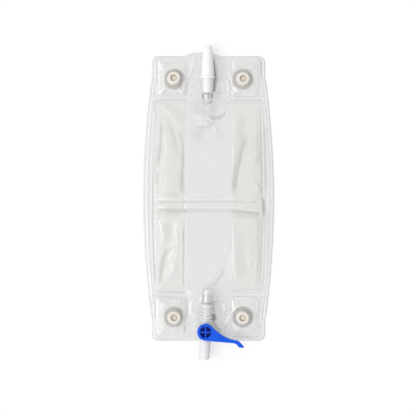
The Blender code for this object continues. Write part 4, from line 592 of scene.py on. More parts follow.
    "inlet_right_arc": (0.8, -0.45, 0.25, (12.1, 92.7), (15.1, 95.7), (19.5, 97.7)),
    "low_neck_left_light": (4.6, -0.3, 0.1, (-14.0, -93.3), (-14.5, -109.3), (-14.0, -127.3)),
    "outlet_tube_grey": (4.2, 0.14, 0.1, (-0.2, -86.8), (-0.5, -100.3)),
}


def crease_height(x, y, points, rise, lit, shaded, fade):
    """A ridge with a bell-shaped section along a line of points, with a width for each side.

    The section is exp(-(distance / width)^2). Its height fades out over a share of each end.
    """
    points = np.array(points, float)
    legs = np.diff(points, axis=0)
    lengths = np.hypot(*legs.T)
    starts = np.concatenate([[0], np.cumsum(lengths)[:-1]])
    reach = 3.0 * max(lit, shaded)
    near = (
        (x > points[:, 0].min() - reach) & (x < points[:, 0].max() + reach)
        & (y > points[:, 1].min() - reach) & (y < points[:, 1].max() + reach)
    )
    spot = np.stack([x[near], y[near]], -1)
    best = np.full(len(spot), np.inf)
    share = np.zeros(len(spot))
    side = np.zeros(len(spot))
    for start, leg, length, before in zip(points, legs, lengths, starts):
        t = np.clip(((spot - start) @ leg) / length**2, 0, 1)
        away = spot - start - t[:, None] * leg
        far = np.hypot(*away.T)
        nearer = far < best
        best = np.where(nearer, far, best)
        share = np.where(nearer, (before + t * length) / lengths.sum(), share)
        side = np.where(nearer, away @ LIT_WAY, side)
    width = np.where(side > 0, lit, shaded)
    ends = smooth(0, fade, share) * smooth(0, fade, 1 - share)
    height = np.zeros_like(x)
    height[near] = rise * ends * hump(best, 0, width)
    return height


def soft_waves(x, y, seed, size, count=26):
    """A gentle uneven surface: a sum of sine waves of many directions about one wavelength."""
    chance = np.random.default_rng(seed)
    total = np.zeros_like(x)
    for _ in range(count):
        turn = chance.uniform(0, 2 * math.pi)
        wave = 2 * math.pi / (size * chance.uniform(0.7, 1.6))
        total += np.sin(wave * (x * math.cos(turn) + y * math.sin(turn)) + chance.uniform(0, 6.28))
    return total / math.sqrt(count)


# Each button's place, how far it leans in degrees, and the heading that it leans towards
BUTTON_PLACES = {
    "top_left": (-34.2, 123.207, 8.0, 135.0),
    "top_right": (34.2, 123.207, 0.0, 0.0),
    "bottom_left": (-34.2, -114.093, 0.0, 0.0),
    "bottom_right": (34.2, -114.093, 7.0, 205.0),
}


def film_regions(x, y, station):
    """Depths inside the chamber with its neck, the pockets and the film's edge."""
    even = x * CHAMBER_HALF / seam_half(station)
    chamber = box_inside(even, y, *CHAMBER_BOX, CHAMBER_CORNER)
    chamber = either(chamber, box_inside(x, y, *NECK_BOX, NECK_CORNER), NECK_FILLET)
    pockets = np.max([box_inside(x, y, *box, POCKET_CORNER) for box in POCKET_BOXES], axis=0)
    reach = edge_half(np.clip(station, CORNER, FILM_LENGTH - CORNER))
    film_box = (-EDGE_HALF, EDGE_HALF, LOWER_EDGE, LOWER_EDGE + FILM_LENGTH)
    edge = box_inside(x / reach * EDGE_HALF, y, *film_box, CORNER)
    edge = np.minimum(edge, reach - np.abs(x))
    return chamber, pockets, edge


def port_axis(station):
    """Where the axis of the inlet, or of the leaning outlet, crosses a station."""
    leaning = PORT_X - math.tan(OUTLET_LEAN) * np.clip(OUTLET_START - station, 0, None)
    return np.where(station > MIDDLE_STATION, PORT_X, leaning)


def below_inlet(x, y):
    """1 where the chamber's upper weld passes behind the inlet, fading out to its sides."""
    return smooth(24, 17, np.abs(x)) * smooth(88, 96, y)


def film_height(x, y, station):
    """Height of the front film's outer face, in millimetres above the table.

    From the weld's level it rises inside the chamber by 1 - exp(-depth / 2.6), with a pillow that
    grows smoothly from the sides, and inside the pockets in proportion to their depth. Bell-shaped
    beads follow the welds and outlines. Sine waves and the creases are added to that.
    """
    chamber, pockets, edge = film_regions(x, y, station)
    height = np.full_like(x, WELD_TOP)
    from_side = np.clip(np.minimum(chamber, seam_half(station) - np.abs(x)), 0, None)
    ends = smooth(46, 96, station) * smooth(239, 190, station)
    step = STEP_RISE - 0.8 * smooth(-88, -95, y)
    pillow = step * (1 - np.exp(-np.clip(chamber, 0, None) / 2.6))
    pillow += PILLOW_RISE * ends * smooth(0, 13, from_side)
    height += np.where(chamber > 0, pillow, 0)
    height += POCKET_RISE * np.clip(pockets, 0, 8.0) / 8.0 + 0.25 * smooth(0, 2.5, pockets)
    for bx, by, _, _ in BUTTON_PLACES.values():
        disc = np.hypot(x - bx, y - by)
        height = np.maximum(height, WELD_TOP + BUTTON_RISE * (1 - smooth(10.5, 11.7, disc)))
    # Weld beads beside the chamber, round the pockets and along the film's edge
    bead = 0.60 - 0.42 * smooth(-88, -94, y) - 0.45 * below_inlet(x, y)
    height += bead * hump(chamber, -0.9, 1.0) + humps(pockets, POCKET_BEADS)
    height += humps(edge, RIM_BEADS) * smooth(-0.2, 0.6, edge) + humps(edge, EDGE_BEADS)
    flange = np.clip((np.abs(x) - seam_half(station)) / (edge_half(station) - seam_half(station)), 0, 1)
    height += smooth(30, 60, station) * smooth(255, 225, station) * humps(flange, FLANGE_BEADS)
    for box in OUTLINE_BOXES:
        height += humps(box_inside(x, y, *box, 3.0), OUTLINE_BEADS)
    height += humps(box_inside(x, y, *ISLAND_BOX, 4.5), ISLAND_BEADS)
    # Slack in the film, and its creases
    loose = smooth(1, 9, chamber)
    centre = 1 - smooth(19, 25, np.abs(x))
    height += loose * (0.20 - 0.14 * centre) * soft_waves(x, y, 4, 19.0)
    height += 0.05 * loose * soft_waves(x, y * 0.35, 8, 6.0)
    height += 0.012 * smooth(0, 3, pockets) * soft_waves(x, y, 12, 8.0)
    for rise, lit, shaded, fade, *points in CREASES.values():
        height += crease_height(x, y, points, rise, lit, shaded, fade)
    height = np.maximum(height, WELD_TOP - HOLLOW_DEPTH)
    return arched(height, x, station)


def arched(height, x, station):
    """Lifts the film over the two stubs: a half round with straight sides, lower in the chamber."""
    away = np.abs(x - port_axis(station))
    inlet = smooth(219.0, 234.0, station) * smooth(245.9, 244.5, station)
    outlet = (1 - smooth(51.6, 53.2, station)) * smooth(37.2, 38.6, station)
    radius = np.where(station > MIDDLE_STATION, INLET_ARCH, OUTLET_ARCH)
    over = radius * 0.92
    spread = 1.3 + 1.4 * smooth(238, 224, station)
    foot = radius * np.where(station > MIDDLE_STATION, spread, 1.12)
    crown = PORT_HEIGHT + np.sqrt(np.clip(radius**2 - np.minimum(away, over) ** 2, 0, None))
    side = np.clip((foot - away) / (foot - over), 0, 1) ** 1.15
    arch = WELD_TOP + (crown - WELD_TOP) * np.where(away <= over, 1, side)
    share = np.maximum(inlet, outlet)
    return height + share * np.clip(arch - height, 0, None)


def closer(low, high, count, places, reach, more):
    """Numbers from low to high, set closer together near the given places.

    They are evenly spaced on a running sum of 1 + more * exp(-(distance to a place / reach)^2).
    """
    fine = np.linspace(low, high, 4000)
    crowd = 1 + more * np.exp(-((fine[:, None] - np.array(places)) / reach) ** 2).sum(axis=1).clip(0, 1)
    run = np.concatenate([[0], np.cumsum((crowd[1:] + crowd[:-1]) / 2)])
    return np.interp(np.linspace(0, run[-1], count), run, fine)


def film_grid(columns_inside, columns_outside, row_count):
    """Places over the film's outline: rows by station, columns by shares of the seam and the flange."""
    ends = CORNER * (1 - np.cos(np.linspace(0, math.pi / 2, 9)))
    middle = closer(CORNER, FILM_LENGTH - CORNER, row_count, ROW_PLACES, 5.0, 0.9)
    station = np.concatenate([ends[:-1], middle, (FILM_LENGTH - ends[:-1])[::-1]])
    inside = closer(-CHAMBER_HALF, CHAMBER_HALF, 2 * columns_inside + 1, COLUMN_PLACES, 3.0, 0.9)
    inside = inside / CHAMBER_HALF
    out = np.linspace(0, 1, columns_outside + 1)[1:]
    seam, cut = seam_half(station)[:, None], corner_cut(station)[:, None]
    edge = edge_half(station)[:, None]
    right = seam + (edge + cut - seam) * out
    x = np.hstack([-right[:, ::-1], seam * inside, right]) * edge / (edge + cut)
    station = np.broadcast_to(station[:, None], x.shape)
    y = station + LOWER_EDGE + smooth(274.8, 284, station) * tab_rise(x)
    return x, y, station


def film_shell(name, x, y, top, under, material):
    """A closed film: a top face, an under face and the rim that joins them."""
    rows, columns = x.shape
    points = np.vstack([
        np.stack([x, y, top], -1).reshape(-1, 3),
        np.stack([x, y, under], -1).reshape(-1, 3),
    ])
    faces = grid_faces(rows, columns)
    count = rows * columns
    lower = [[face[3], face[2], face[1], face[0]] for face in grid_faces(rows, columns, start=count)]
    number = np.arange(count).reshape(rows, columns)
    loop = np.concatenate([number[0, :-1], number[:-1, -1], number[-1, :0:-1], number[:0:-1, 0]])
    after = np.roll(loop, -1)
    rim = np.stack([loop + count, after + count, after, loop], -1).tolist()
    return mesh_piece(name, points, faces + lower + rim, material, 75.0)


def paint(piece, name, values):
    """Keeps one number for each point as an attribute that the material reads."""
    attribute = piece.data.attributes.new(name, "FLOAT", "POINT")
    attribute.data.foreach_set("value", np.asarray(values, np.float32).ravel())


def one_step_wider(values):
    """Each place of a grid takes the largest value among itself and its four neighbours."""
    across = np.maximum(values, np.maximum(np.roll(values, 1, 1), np.roll(values, -1, 1)))
    return np.maximum(across, np.maximum(np.roll(across, 1, 0), np.roll(across, -1, 0)))


def points_of(piece):
    """The points of a piece, in millimetres."""
    flat = np.zeros(len(piece.data.vertices) * 3)
    piece.data.vertices.foreach_get("co", flat)
    return flat.reshape(-1, 3) * 1000


def under_face(x, station, top, raised):
    """The film's inner face: a wall below the outer one where it is raised, or else on the weld."""
    across = np.gradient(top, axis=1) / np.gradient(x, axis=1)
    up = np.gradient(top, axis=0) / np.gradient(station, axis=0)
    steep = np.clip(np.sqrt(1 + across**2 + up**2), 1, STEEPEST)
    under = np.maximum(top - FILM_WALL * steep, WELD_UNDER)
    pressed = np.maximum(top - (WELD_TOP - WELD_UNDER), WELD_UNDER)
    return np.minimum(raised * under + (1 - raised) * pressed, top - THINNEST)


def film_painted_light_and_tone(x, y, chamber, pockets, edge):
    """How much greyer each place of the film is, or below zero whiter: strokes, lines and areas."""
    neck = smooth(-89, -95, y) * smooth(22, 19, np.abs(x))
    painted_light_and_tone = -NECK_WHITE * neck - POCKET_WHITE * smooth(1, 3, pockets)
    painted_light_and_tone -= LOWER_WHITE * smooth(0, -20, y) * smooth(24, 20, np.abs(x))
    for width, amount, fade, *points in PAINTED_LIGHT_AND_TONE.values():
        lit, shaded = np.broadcast_to(width, 2)
        painted_light_and_tone += crease_height(x, y, points, amount, lit, shaded, fade)
    # Painted shade just outside the chamber's weld and a painted highlight just inside it
    painted_light_and_tone += (0.16 - 0.14 * below_inlet(x, y)) * hump(chamber, -1.3, 0.7)
    painted_light_and_tone -= (0.20 - 0.12 * neck) * hump(chamber, 0.9, 0.7)
    painted_light_and_tone += humps(pockets, POCKET_LINES) + humps(edge, EDGE_LINES)
    for box in (*OUTLINE_BOXES, ISLAND_BOX):
        painted_light_and_tone += humps(box_inside(x, y, *box, 3.5), OUTLINE_LINES)
    welded = 1 - smooth(-2.0, -0.5, chamber)
    painted_light_and_tone -= welded * LEFT_FLANGE_WHITE * (x < 0) * smooth(46, 54, np.abs(x))
    return painted_light_and_tone - welded * CROSS_WELD_WHITE * smooth(56, 46, np.abs(x))


def front_film(material):
    """The front sheet, with the numbers that its material reads painted on its points."""
    x, y, station = film_grid(*FRONT_GRID)
    top = film_height(x, y, station)
    chamber, pockets, edge = film_regions(x, y, station)
    raised = smooth(0.2, 1.6, np.maximum(chamber, pockets))
    raised = np.maximum(raised, smooth(WELD_TOP + 0.5, WELD_TOP + 1.4, top))
    piece = film_shell("front_film", x, y, top, under_face(x, station, top, raised), material)
    sides = smooth(*PANEL_FOLD, np.abs(x)) * smooth(0, 2, chamber)
    over = smooth(0.0, 0.3, arched(np.full_like(x, WELD_TOP), x, station) - WELD_TOP)
    for bx, by, _, _ in BUTTON_PLACES.values():
        over = np.maximum(over, 1 - smooth(12.0, 13.0, np.hypot(x - bx, y - by)))
    painted_light_and_tone = film_painted_light_and_tone(x, y, chamber, pockets, edge)
    labels = {
        "side_panel": np.maximum(sides, 0.6 * smooth(0, 1.5, pockets)),
        "right_panel": sides * (x > 0),
        "flange": 1 - smooth(-1.5, 0.5, np.maximum(chamber, pockets)),
        "over_port": one_step_wider(over),
        # grey holds the painted shade and shadows, white the painted highlights and whiter areas
        "grey": np.clip(1.2 * painted_light_and_tone, 0, 1),
        "white": np.clip(-painted_light_and_tone, 0, 1),
    }
    for label, values in labels.items():
        paint(piece, label, np.tile(values.ravel(), 2))
    return piece


def back_film(material):
    """The back sheet, flat on the table, with nothing painted on it."""
    x, y, _ = film_grid(*BACK_GRID)
    low = np.full_like(x, BACK_UNDER)
    piece = film_shell("back_film", x, y, low + BACK_WALL, low, material)
    for label in FILM_LABELS:
        paint(piece, label, np.zeros(x.size * 2))
    return piece


# Materials
WHITE = (1.0, 1.0, 1.0)
GROOVE_SHADE = (0.30, 0.30, 0.28)


def new_material(name):
    """A material with an empty node tree, and that tree."""
    material = bpy.data.materials.new(name)
    material.use_nodes = True
    tree = material.node_tree
    tree.nodes.clear()
    return material, tree


def node(tree, kind, values=None, links=None, **settings):
    """A node with its settings, its sockets' own values, and what is linked to its sockets."""
    made = tree.nodes.new(kind)
    for key, value in settings.items():
        setattr(made, key, value)
    for key, value in (values or {}).items():
        made.inputs[key].default_value = value
    for key, source in (links or {}).items():
        tree.links.new(source, made.inputs[key])
    return made


def feed(tree, socket, value):
    """Gives a socket a number, or a link where the value is a socket itself."""
    if hasattr(value, "links"):
        tree.links.new(value, socket)
    else:
        socket.default_value = value


def maths(tree, operation, *values, clamp=False):
    """What a Math node makes of some values, each a number or a socket."""
    made = node(tree, "ShaderNodeMath", operation=operation, use_clamp=clamp)
    for socket, value in zip(made.inputs, values):
        feed(tree, socket, value)
    return made.outputs[0]


def uneven(tree, height, strength, distance, normal=None):
    """A normal that a bump of the given height turns a little."""
    links = {"Height": height} if normal is None else {"Height": height, "Normal": normal}
    settings = {"Strength": strength, "Distance": distance}
    return node(tree, "ShaderNodeBump", settings, links).outputs["Normal"]


def show(tree, surface, kind="ShaderNodeOutputMaterial"):
    """Makes a surface the one that the material, or the world, shows."""
    tree.links.new(surface, node(tree, kind).inputs["Surface"])


def partly_clear(tree, haze, through, shader):
    """Shows the see-through shader with the solid one over it by the share of haze."""
    links = {0: haze, 1: through.outputs["BSDF"], 2: shader.outputs["BSDF"]}
    show(tree, node(tree, "ShaderNodeMixShader", None, links).outputs["Shader"])


def object_noise(tree, scale, detail=3.0, stretch=(1.0, 1.0, 1.0)):
    """Noise over the piece's own coordinates, stretched where the material has a grain."""
    place = node(tree, "ShaderNodeTexCoord")
    mapped = node(tree, "ShaderNodeMapping", {"Scale": stretch}, {"Vector": place.outputs["Object"]})
    return node(
        tree, "ShaderNodeTexNoise", {"Scale": scale, "Detail": detail, "Roughness": 0.55},
        {"Vector": mapped.outputs["Vector"]},
    ).outputs["Fac"]


def between(tree, share, low, high):
    """Colours that run from low to high with a share."""
    ramp = node(tree, "ShaderNodeValToRGB", None, {"Fac": share})
    for stop, colour, place in zip(ramp.color_ramp.elements, (low, high), (0.3, 0.7)):
        stop.color = (*colour, 1.0)
        stop.position = place
    return ramp.outputs["Color"]


def remap(tree, share, low, high):
    """A number that runs from low to high with a share."""
    return node(
        tree, "ShaderNodeMapRange", {"To Min": low, "To Max": high}, {"Value": share}
    ).outputs["Result"]


def mix_colours(tree, share, low, high):
    """A colour that runs from low to high with a share; each is a colour or a socket."""
    made = node(tree, "ShaderNodeMix", None, {"Factor": share}, data_type="RGBA")
    for socket, value in ((made.inputs[6], low), (made.inputs[7], high)):
        feed(tree, socket, value if hasattr(value, "links") else (*value, 1.0))
    return made.outputs[2]


def painted(tree, label):
    """The number that a piece keeps for each point under a name."""
    return node(tree, "ShaderNodeAttribute", attribute_name=label).outputs["Fac"]


def moulded(name, colour, darker, roughness, bump=0.00003, grain=420.0, values=None, toned=()):
    """Moulded plastic: a slight unevenness in colour and gloss, and a faint orange-peel skin.

    Each pair in toned is the name of a number kept on the piece and the colour that it brings in.
    """
    material, tree = new_material(name)
    broad = object_noise(tree, 90.0)
    fine = object_noise(tree, grain, 4.0)
    base = between(tree, broad, darker, colour)
    for label, other in toned:
        base = mix_colours(tree, painted(tree, label), base, other)
    links = {
        "Base Color": base,
        "Roughness": remap(tree, fine, roughness - 0.05, roughness + 0.06),
        "Normal": uneven(tree, fine, 0.35, bump),
    }
    show(tree, node(tree, "ShaderNodeBsdfPrincipled", values, links).outputs["BSDF"])
    return material


def clear_plastic(name, colour, darker, roughness, thin, edge, bump=0.00004, clear=0.985):
    """See-through plastic: clear straight on and hazier edge on, over a faintly uneven skin.

    Where a piece keeps "cloudy" it is milkier, and where it keeps painted shade between ribs it is
    darker.
    """
    material, tree = new_material(name)
    broad = object_noise(tree, 120.0)
    fine = object_noise(tree, 700.0, 3.0)
    colour = mix_colours(tree, painted(tree, "groove_shade"), between(tree, broad, darker, colour), GROOVE_SHADE)
    links = {
        "Base Color": colour,
        "Roughness": remap(tree, fine, roughness - 0.04, roughness + 0.05),
        "Normal": uneven(tree, fine, 0.3, bump),
    }
    shader = node(tree, "ShaderNodeBsdfPrincipled", None, links)
    facing = node(tree, "ShaderNodeLayerWeight", {"Blend": 0.5}).outputs["Facing"]
    haze = node(
        tree, "ShaderNodeMapRange", {"To Min": thin, "To Max": edge}, {"Value": facing},
        interpolation_type="SMOOTHSTEP",
    ).outputs["Result"]
    haze = maths(tree, "MAXIMUM", haze, painted(tree, "cloudy"))
    through = node(tree, "ShaderNodeBsdfTransparent", {"Color": (clear, clear, clear, 1.0)})
    partly_clear(tree, haze, through, shader)
    return material


def film_material(name):
    """Milky vinyl film: cool in the middle panel, warmer in the side panels, clearer in the welds.

    It is hazier where it is steep or painted white, and darker where it is steep or painted grey; the
    painted white is mostly painted highlights, and the painted grey mostly painted shade.
    """
    material, tree = new_material(name)
    side, right, flange, over_port, grey, white = [painted(tree, label) for label in FILM_LABELS]
    colour = mix_colours(tree, side, (0.930, 0.932, 0.935), (0.895, 0.892, 0.862))
    colour = mix_colours(tree, right, colour, (0.865, 0.860, 0.830))
    colour = mix_colours(tree, flange, colour, (0.950, 0.950, 0.950))
    # Painted highlights whiten the film's colour
    colour = mix_colours(tree, white, colour, WHITE)
    grain = object_noise(tree, 160.0, 4.0, (1.0, 0.25, 1.0))
    wrinkle = uneven(tree, grain, 0.5, 0.00001)
    skin = uneven(tree, object_noise(tree, 900.0, 3.0), 0.1, 0.00001, wrinkle)
    links = {"Base Color": colour, "Roughness": remap(tree, grain, 0.15, 0.24), "Normal": skin}
    shader = node(tree, "ShaderNodeBsdfPrincipled", {"IOR": 2.6}, links)
    level = node(
        tree, "ShaderNodeVectorMath", {1: (0.0, 0.0, 1.0)}, {0: wrinkle}, operation="DOT_PRODUCT"
    ).outputs["Value"]
    level = maths(tree, "ABSOLUTE", level)
    steep = node(
        tree, "ShaderNodeMapRange", {"From Min": 0.985, "From Max": 0.72}, {"Value": level}
    ).outputs["Result"]
    steep = maths(tree, "MULTIPLY", steep, remap(tree, over_port, 1.0, 0.08))
    haze = maths(tree, "MULTIPLY", remap(tree, steep, 0.15, 0.45), remap(tree, over_port, 1.0, 0.2))
    haze = maths(tree, "MULTIPLY", haze, remap(tree, flange, 1.0, 0.75))
    haze = maths(tree, "ADD", haze, remap(tree, white, 0.0, 0.6))
    # Painted shade darkens the see-through tint as steep faces do
    dark = maths(tree, "ADD", steep, grey, clamp=True)
    tint = mix_colours(tree, side, (0.978, 0.978, 0.978), (0.981, 0.979, 0.974))
    tint = mix_colours(tree, dark, tint, (0.62, 0.612, 0.595))
    tint = mix_colours(tree, white, tint, WHITE)
    through = node(tree, "ShaderNodeBsdfTransparent", None, {"Color": tint})
    partly_clear(tree, haze, through, shader)
    return material


FILM = film_material("milky_vinyl_film")
SLEEVE = clear_plastic(
    "sleeve_film", (0.93, 0.93, 0.92), (0.90, 0.90, 0.89), 0.30, 0.01, 0.05, clear=0.996
)
TUBE = clear_plastic("clear_tube", (0.88, 0.88, 0.85), (0.84, 0.84, 0.81), 0.12, 0.05, 0.46, clear=0.99)
COUPLING = clear_plastic("milky_coupling", (0.93, 0.93, 0.93), (0.89, 0.89, 0.89), 0.12, 0.70, 0.98)
CAP_WHITE = moulded("white_cap", (0.95, 0.95, 0.95), (0.92, 0.92, 0.92), 0.32)
BARREL_WHITE = moulded("white_barrel", (0.885, 0.885, 0.89), (0.85, 0.85, 0.855), 0.22)
NOZZLE_WHITE = moulded("soft_nozzle", (0.83, 0.835, 0.84), (0.80, 0.805, 0.81), 0.40)
CREAM = moulded(
    "cream_button", (0.83, 0.80, 0.755), (0.79, 0.755, 0.70), 0.33,
    # Painted shade: the base under the film, the hole and the spool's waist are darker copies of the
    # cream
    toned=(("base", (0.50, 0.485, 0.45)), ("tan", (0.52, 0.42, 0.29)), ("well", (0.74, 0.70, 0.64))),
)
BLUE = moulded(
    "blue_lever", (0.0, 0.105, 0.82), (0.0, 0.092, 0.76), 0.38, values={"Specular IOR Level": 0.25},
    # The recess is painted dark navy: painted shade inside it
    toned=(("deep", (0.0, 0.010, 0.32)),),
)


# Inlet, with the place on its axis from which each piece's lengths are measured
INLET_WAY = (0, 1, 0)
CAP_FOOT = (PORT_X, 122.7, PORT_HEIGHT)
BARREL_FOOT = (PORT_X, 109.107, PORT_HEIGHT)
STUB_FOOT = (PORT_X, 107.907, PORT_HEIGHT)
SLEEVE_TOP = 101.907
SLEEVE_LENGTH = 38.5
SLEEVE_WALL = 0.3
SLEEVE_RINGS = 40


def reflux_sleeve():
    """A flattened tube: rings that go from round to flat along the chamber while they swerve.

    A ring is its middle plus (half width * cos, half height * sin), and the inner wall is the
    same rings drawn in by (wall * cos, wall * sin).
    """
    share = np.linspace(0, 1, SLEEVE_RINGS)[:, None]
    turn = np.linspace(0, 2 * math.pi, SLEEVE_RINGS, endpoint=False)[None, :]
    along = SLEEVE_LENGTH * share
    flat = smooth(4.5, 16.0, along)
    across = PORT_X + 11.0 * smooth(0.35, 1.0, share) + (4.7 + 2.1 * flat) * np.cos(turn)
    height = PORT_HEIGHT + (2.1 - PORT_HEIGHT) * flat + (4.7 - 3.9 * flat) * np.sin(turn)
    outer = np.stack([across, SLEEVE_TOP - along + 0 * turn, height], -1)
    inner = outer - SLEEVE_WALL * np.stack([np.cos(turn), 0 * turn, np.sin(turn)], -1)
    points = np.vstack([outer, inner[::-1]]).reshape(-1, 3)
    faces = grid_faces(2 * SLEEVE_RINGS, SLEEVE_RINGS, True, True)
    return mesh_piece("reflux_sleeve", points, faces, SLEEVE, 60.0)


def inlet_pieces():
    """Cap, barrel with its cone, and stub, each turned about the inlet's axis."""
    cap_profile = rounded([
        (0.0, 32.4), (4.4, 32.4, 1.0), (4.95, 27.0, 1.0), (5.62, 15.2, 0.5), (5.95, 13.6, 0.4),
        (6.2, 2.95, 0.5), (6.35, 2.6, 0.2), (6.9, 2.3, 0.35), (6.9, 0.0, 0.4), (5.35, 0.0, 0.2),
        (5.35, 2.8, 0.2), (4.7, 3.45, 0.2), (3.5, 30.8, 0.6), (0.0, 30.8),
    ])
    barrel_corners = [
        (2.1, 41.3), (2.6, 41.3, 0.15), (3.2, 40.6, 0.2), (3.5, 29.2, 0.1), (3.8, 28.5, 0.2),
        (4.1, 15.8, 0.2), (5.05, 15.8, 0.3), (5.05, 2.8, 1.6), (4.55, 0.7, 0.8), (4.4, 0.0, 0.2),
        (4.4, 10.5, 0.1), (2.1, 10.5, 0.1),
    ]
    stub_corners = [
        (2.7, -10.5), (3.7, -10.5, 0.2), (4.1, -10.1, 0.3), (4.1, -0.2), (4.1, 0.2),
        (4.1, 11.4, 0.2), (2.7, 11.4, 0.2),
    ]
    cap = turned_solid("inlet_cap_shell", cap_profile, CAP_FOOT, INLET_WAY, CAP_WHITE)
    barrel = turned_ring("inlet_barrel", barrel_corners, BARREL_FOOT, INLET_WAY, BARREL_WHITE)
    stub = turned_ring("inlet_tube", stub_corners, STUB_FOOT, INLET_WAY, TUBE)
    paint(stub, "cloudy", 0.75 * smooth(107.7, 108.1, points_of(stub)[:, 1]))
    return cap, barrel, stub


# Buttons, where heights on the spool are counted from a mark that tells them from the base's
SPOOL_MARK = 20.0


def strap_button(place):
    """One turned piece: base under the film, collar, and a spool that leans by its own angle."""
    x, y, lean, towards = BUTTON_PLACES[place]
    spool_foot = 3.1 + 6.7 * math.sin(math.radians(lean))
    low = rounded([
        (0.0, 0.72), (10.3, 0.72, 0.2), (10.3, 1.6, 0.35), (4.2, 1.6, 0.15), (4.2, spool_foot + 0.5),
    ])
    high = rounded([
        (4.2, 0.5), (6.2, 0.0, 0.1), (7.0, 0.15, 0.3), (7.0, 1.3, 0.4), (4.9, 1.5, 0.3),
        (4.9, 3.1, 0.3), (6.1, 3.2, 0.2), (6.35, 3.5, 0.2), (6.35, 4.35, 0.5), (5.6, 4.85, 0.4),
        (4.9, 4.66, 0.3), (4.35, 4.8, 0.25), (3.5, 4.9, 0.3), (3.05, 4.5, 0.3), (2.7, 3.1, 0.4),
        (1.3, 2.8, 0.3), (0.0, 2.8),
    ])
    turn = math.radians(towards)
    tilt = Matrix.Rotation(math.radians(lean), 3, Vector((-math.sin(turn), math.cos(turn), 0)))
    below = turned_points(low, (x, y, 0), (0, 0, 1), BUTTON_AROUND)
    above = turned_points(high, (0, 0, 0), (0, 0, 1), BUTTON_AROUND) @ np.array(tilt).T
    points, faces = tipped(np.vstack([below, above[1:] + np.array((x, y, spool_foot))]))
    piece = mesh_piece(f"button_{place}", points, faces, CREAM, 35.0)
    rings = np.vstack([low[1:], high[1:-1] + (0.0, SPOOL_MARK)])
    ends = ((0.0, 0.0), (0.0, 2.8 + SPOOL_MARK))
    radius, along = np.vstack([np.repeat(rings, BUTTON_AROUND, axis=0), ends]).T
    spool = along > SPOOL_MARK - 5
    hole = spool * (radius < 3.4) * smooth(24.95, 24.6, along)
    neck = spool * (radius > 4.0) * (radius < 5.6) * (along > 21) * (along < 23.3)
    # Painted shade on the base under the film, darkest at its rim, on the hole's wall and floor, and in
    # the spool's waist
    paint(piece, "base", (~spool) * (0.55 + 0.45 * smooth(9.3, 10.1, radius)))
    paint(piece, "tan", hole * smooth(1.5, 2.6, radius) + 0.8 * neck)
    paint(piece, "well", hole * smooth(2.6, 1.8, radius))
    return piece


# Outlet and drain valve, with lengths measured down the leaning axis from the tube's upper end
OUTLET_FOOT = np.array((PORT_X, LOWER_EDGE + OUTLET_START, PORT_HEIGHT))
OUTLET_WAY = np.array((-math.sin(OUTLET_LEAN), -math.cos(OUTLET_LEAN), 0.0))
COUPLING_START = 14.1
COUPLING_LENGTH = 19.0
RIBS = 4
LEVER_AXIS = (-2.793, -127.344)


def ribbed_coupling():
    """The coupling, with painted shade between each two ribs, strongest towards its sides."""
    ribs = []
    for n in range(RIBS):
        middle = COUPLING_START + COUPLING_LENGTH * (0.31 + 0.176 * n)
        ribs += [
            (5.15, middle - 1.1, 0.25), (5.95, middle - 0.75, 0.3), (5.95, middle + 0.75, 0.3),
            (5.15, middle + 1.1, 0.25),
        ]
    corners = [(4.9, COUPLING_START), (5.75, COUPLING_START, 0.25), (5.75, 15.0, 0.2)] + ribs + [
        (5.3, 32.2, 0.4), (4.4, 33.0, 0.3), (4.4, 33.7), (2.6, 33.7), (2.6, 26.2, 0.2),
        (4.9, 26.1, 0.2),
    ]
    coupling = turned_ring("drain_coupling", corners, OUTLET_FOOT, OUTLET_WAY, COUPLING, steps=4)
    place = points_of(coupling) - OUTLET_FOOT
    along = place @ OUTLET_WAY
    radius = np.linalg.norm(place - along[:, None] * OUTLET_WAY, axis=1)
    beside = smooth(0.45, 0.85, np.abs(place[:, 0] - along * OUTLET_WAY[0]) / radius)
    ribbed = smooth(18.0, 18.4, along) * smooth(32.0, 31.6, along)
    # Painted shade between the ribs, only towards the coupling's left and right sides
    paint(coupling, "groove_shade", 0.5 * ribbed * beside * smooth(5.6, 5.2, radius) * (radius > 5.0))
    return coupling


def outlet_pieces():
    """Tube, ribbed coupling, spigot, housing and nozzle, the housing about the lever's axis."""
    tube_corners = [
        (3.4, 0.0), (4.2, 0.0, 0.2), (4.6, 0.4, 0.3), (4.6, 12.7), (4.6, 13.1), (4.6, 25.8, 0.2),
        (3.4, 25.8, 0.2),
    ]
    spigot_corners = [
        (2.6, 47.9), (4.0, 47.9), (4.0, 62.0, 0.2), (4.3, 62.6, 0.2), (3.7, 63.4, 0.2),
        (2.6, 63.5, 0.2),
    ]
    housing_corners = [(6.55, 2.6), (7.7, 2.6, 0.4), (7.7, 13.8, 0.4), (6.55, 13.8, 0.2)]
    nozzle_corners = [
        (4.6, 48.8), (5.3, 48.8, 0.2), (5.45, 49.3, 0.3), (5.45, 52.0, 0.3), (5.05, 67.6, 0.4),
        (4.6, 68.4, 0.6), (3.9, 68.4, 0.25), (3.6, 67.6, 0.4), (3.6, 64.0, 0.2), (4.6, 63.7, 0.2),
    ]
    tube = turned_ring("outlet_tube", tube_corners, OUTLET_FOOT, OUTLET_WAY, TUBE)
    along = (points_of(tube) - OUTLET_FOOT) @ OUTLET_WAY
    paint(tube, "cloudy", 0.6 * smooth(12.6, 13.2, along))
    coupling = ribbed_coupling()
    spigot = turned_ring("drain_spigot", spigot_corners, OUTLET_FOOT, OUTLET_WAY, COUPLING)
    housing = turned_ring("valve_housing", housing_corners, (*LEVER_AXIS, 0), (0, 0, 1), COUPLING)
    nozzle = turned_ring("nozzle_sleeve", nozzle_corners, OUTLET_FOOT, OUTLET_WAY, NOZZLE_WHITE)
    return tube, coupling, spigot, housing, nozzle


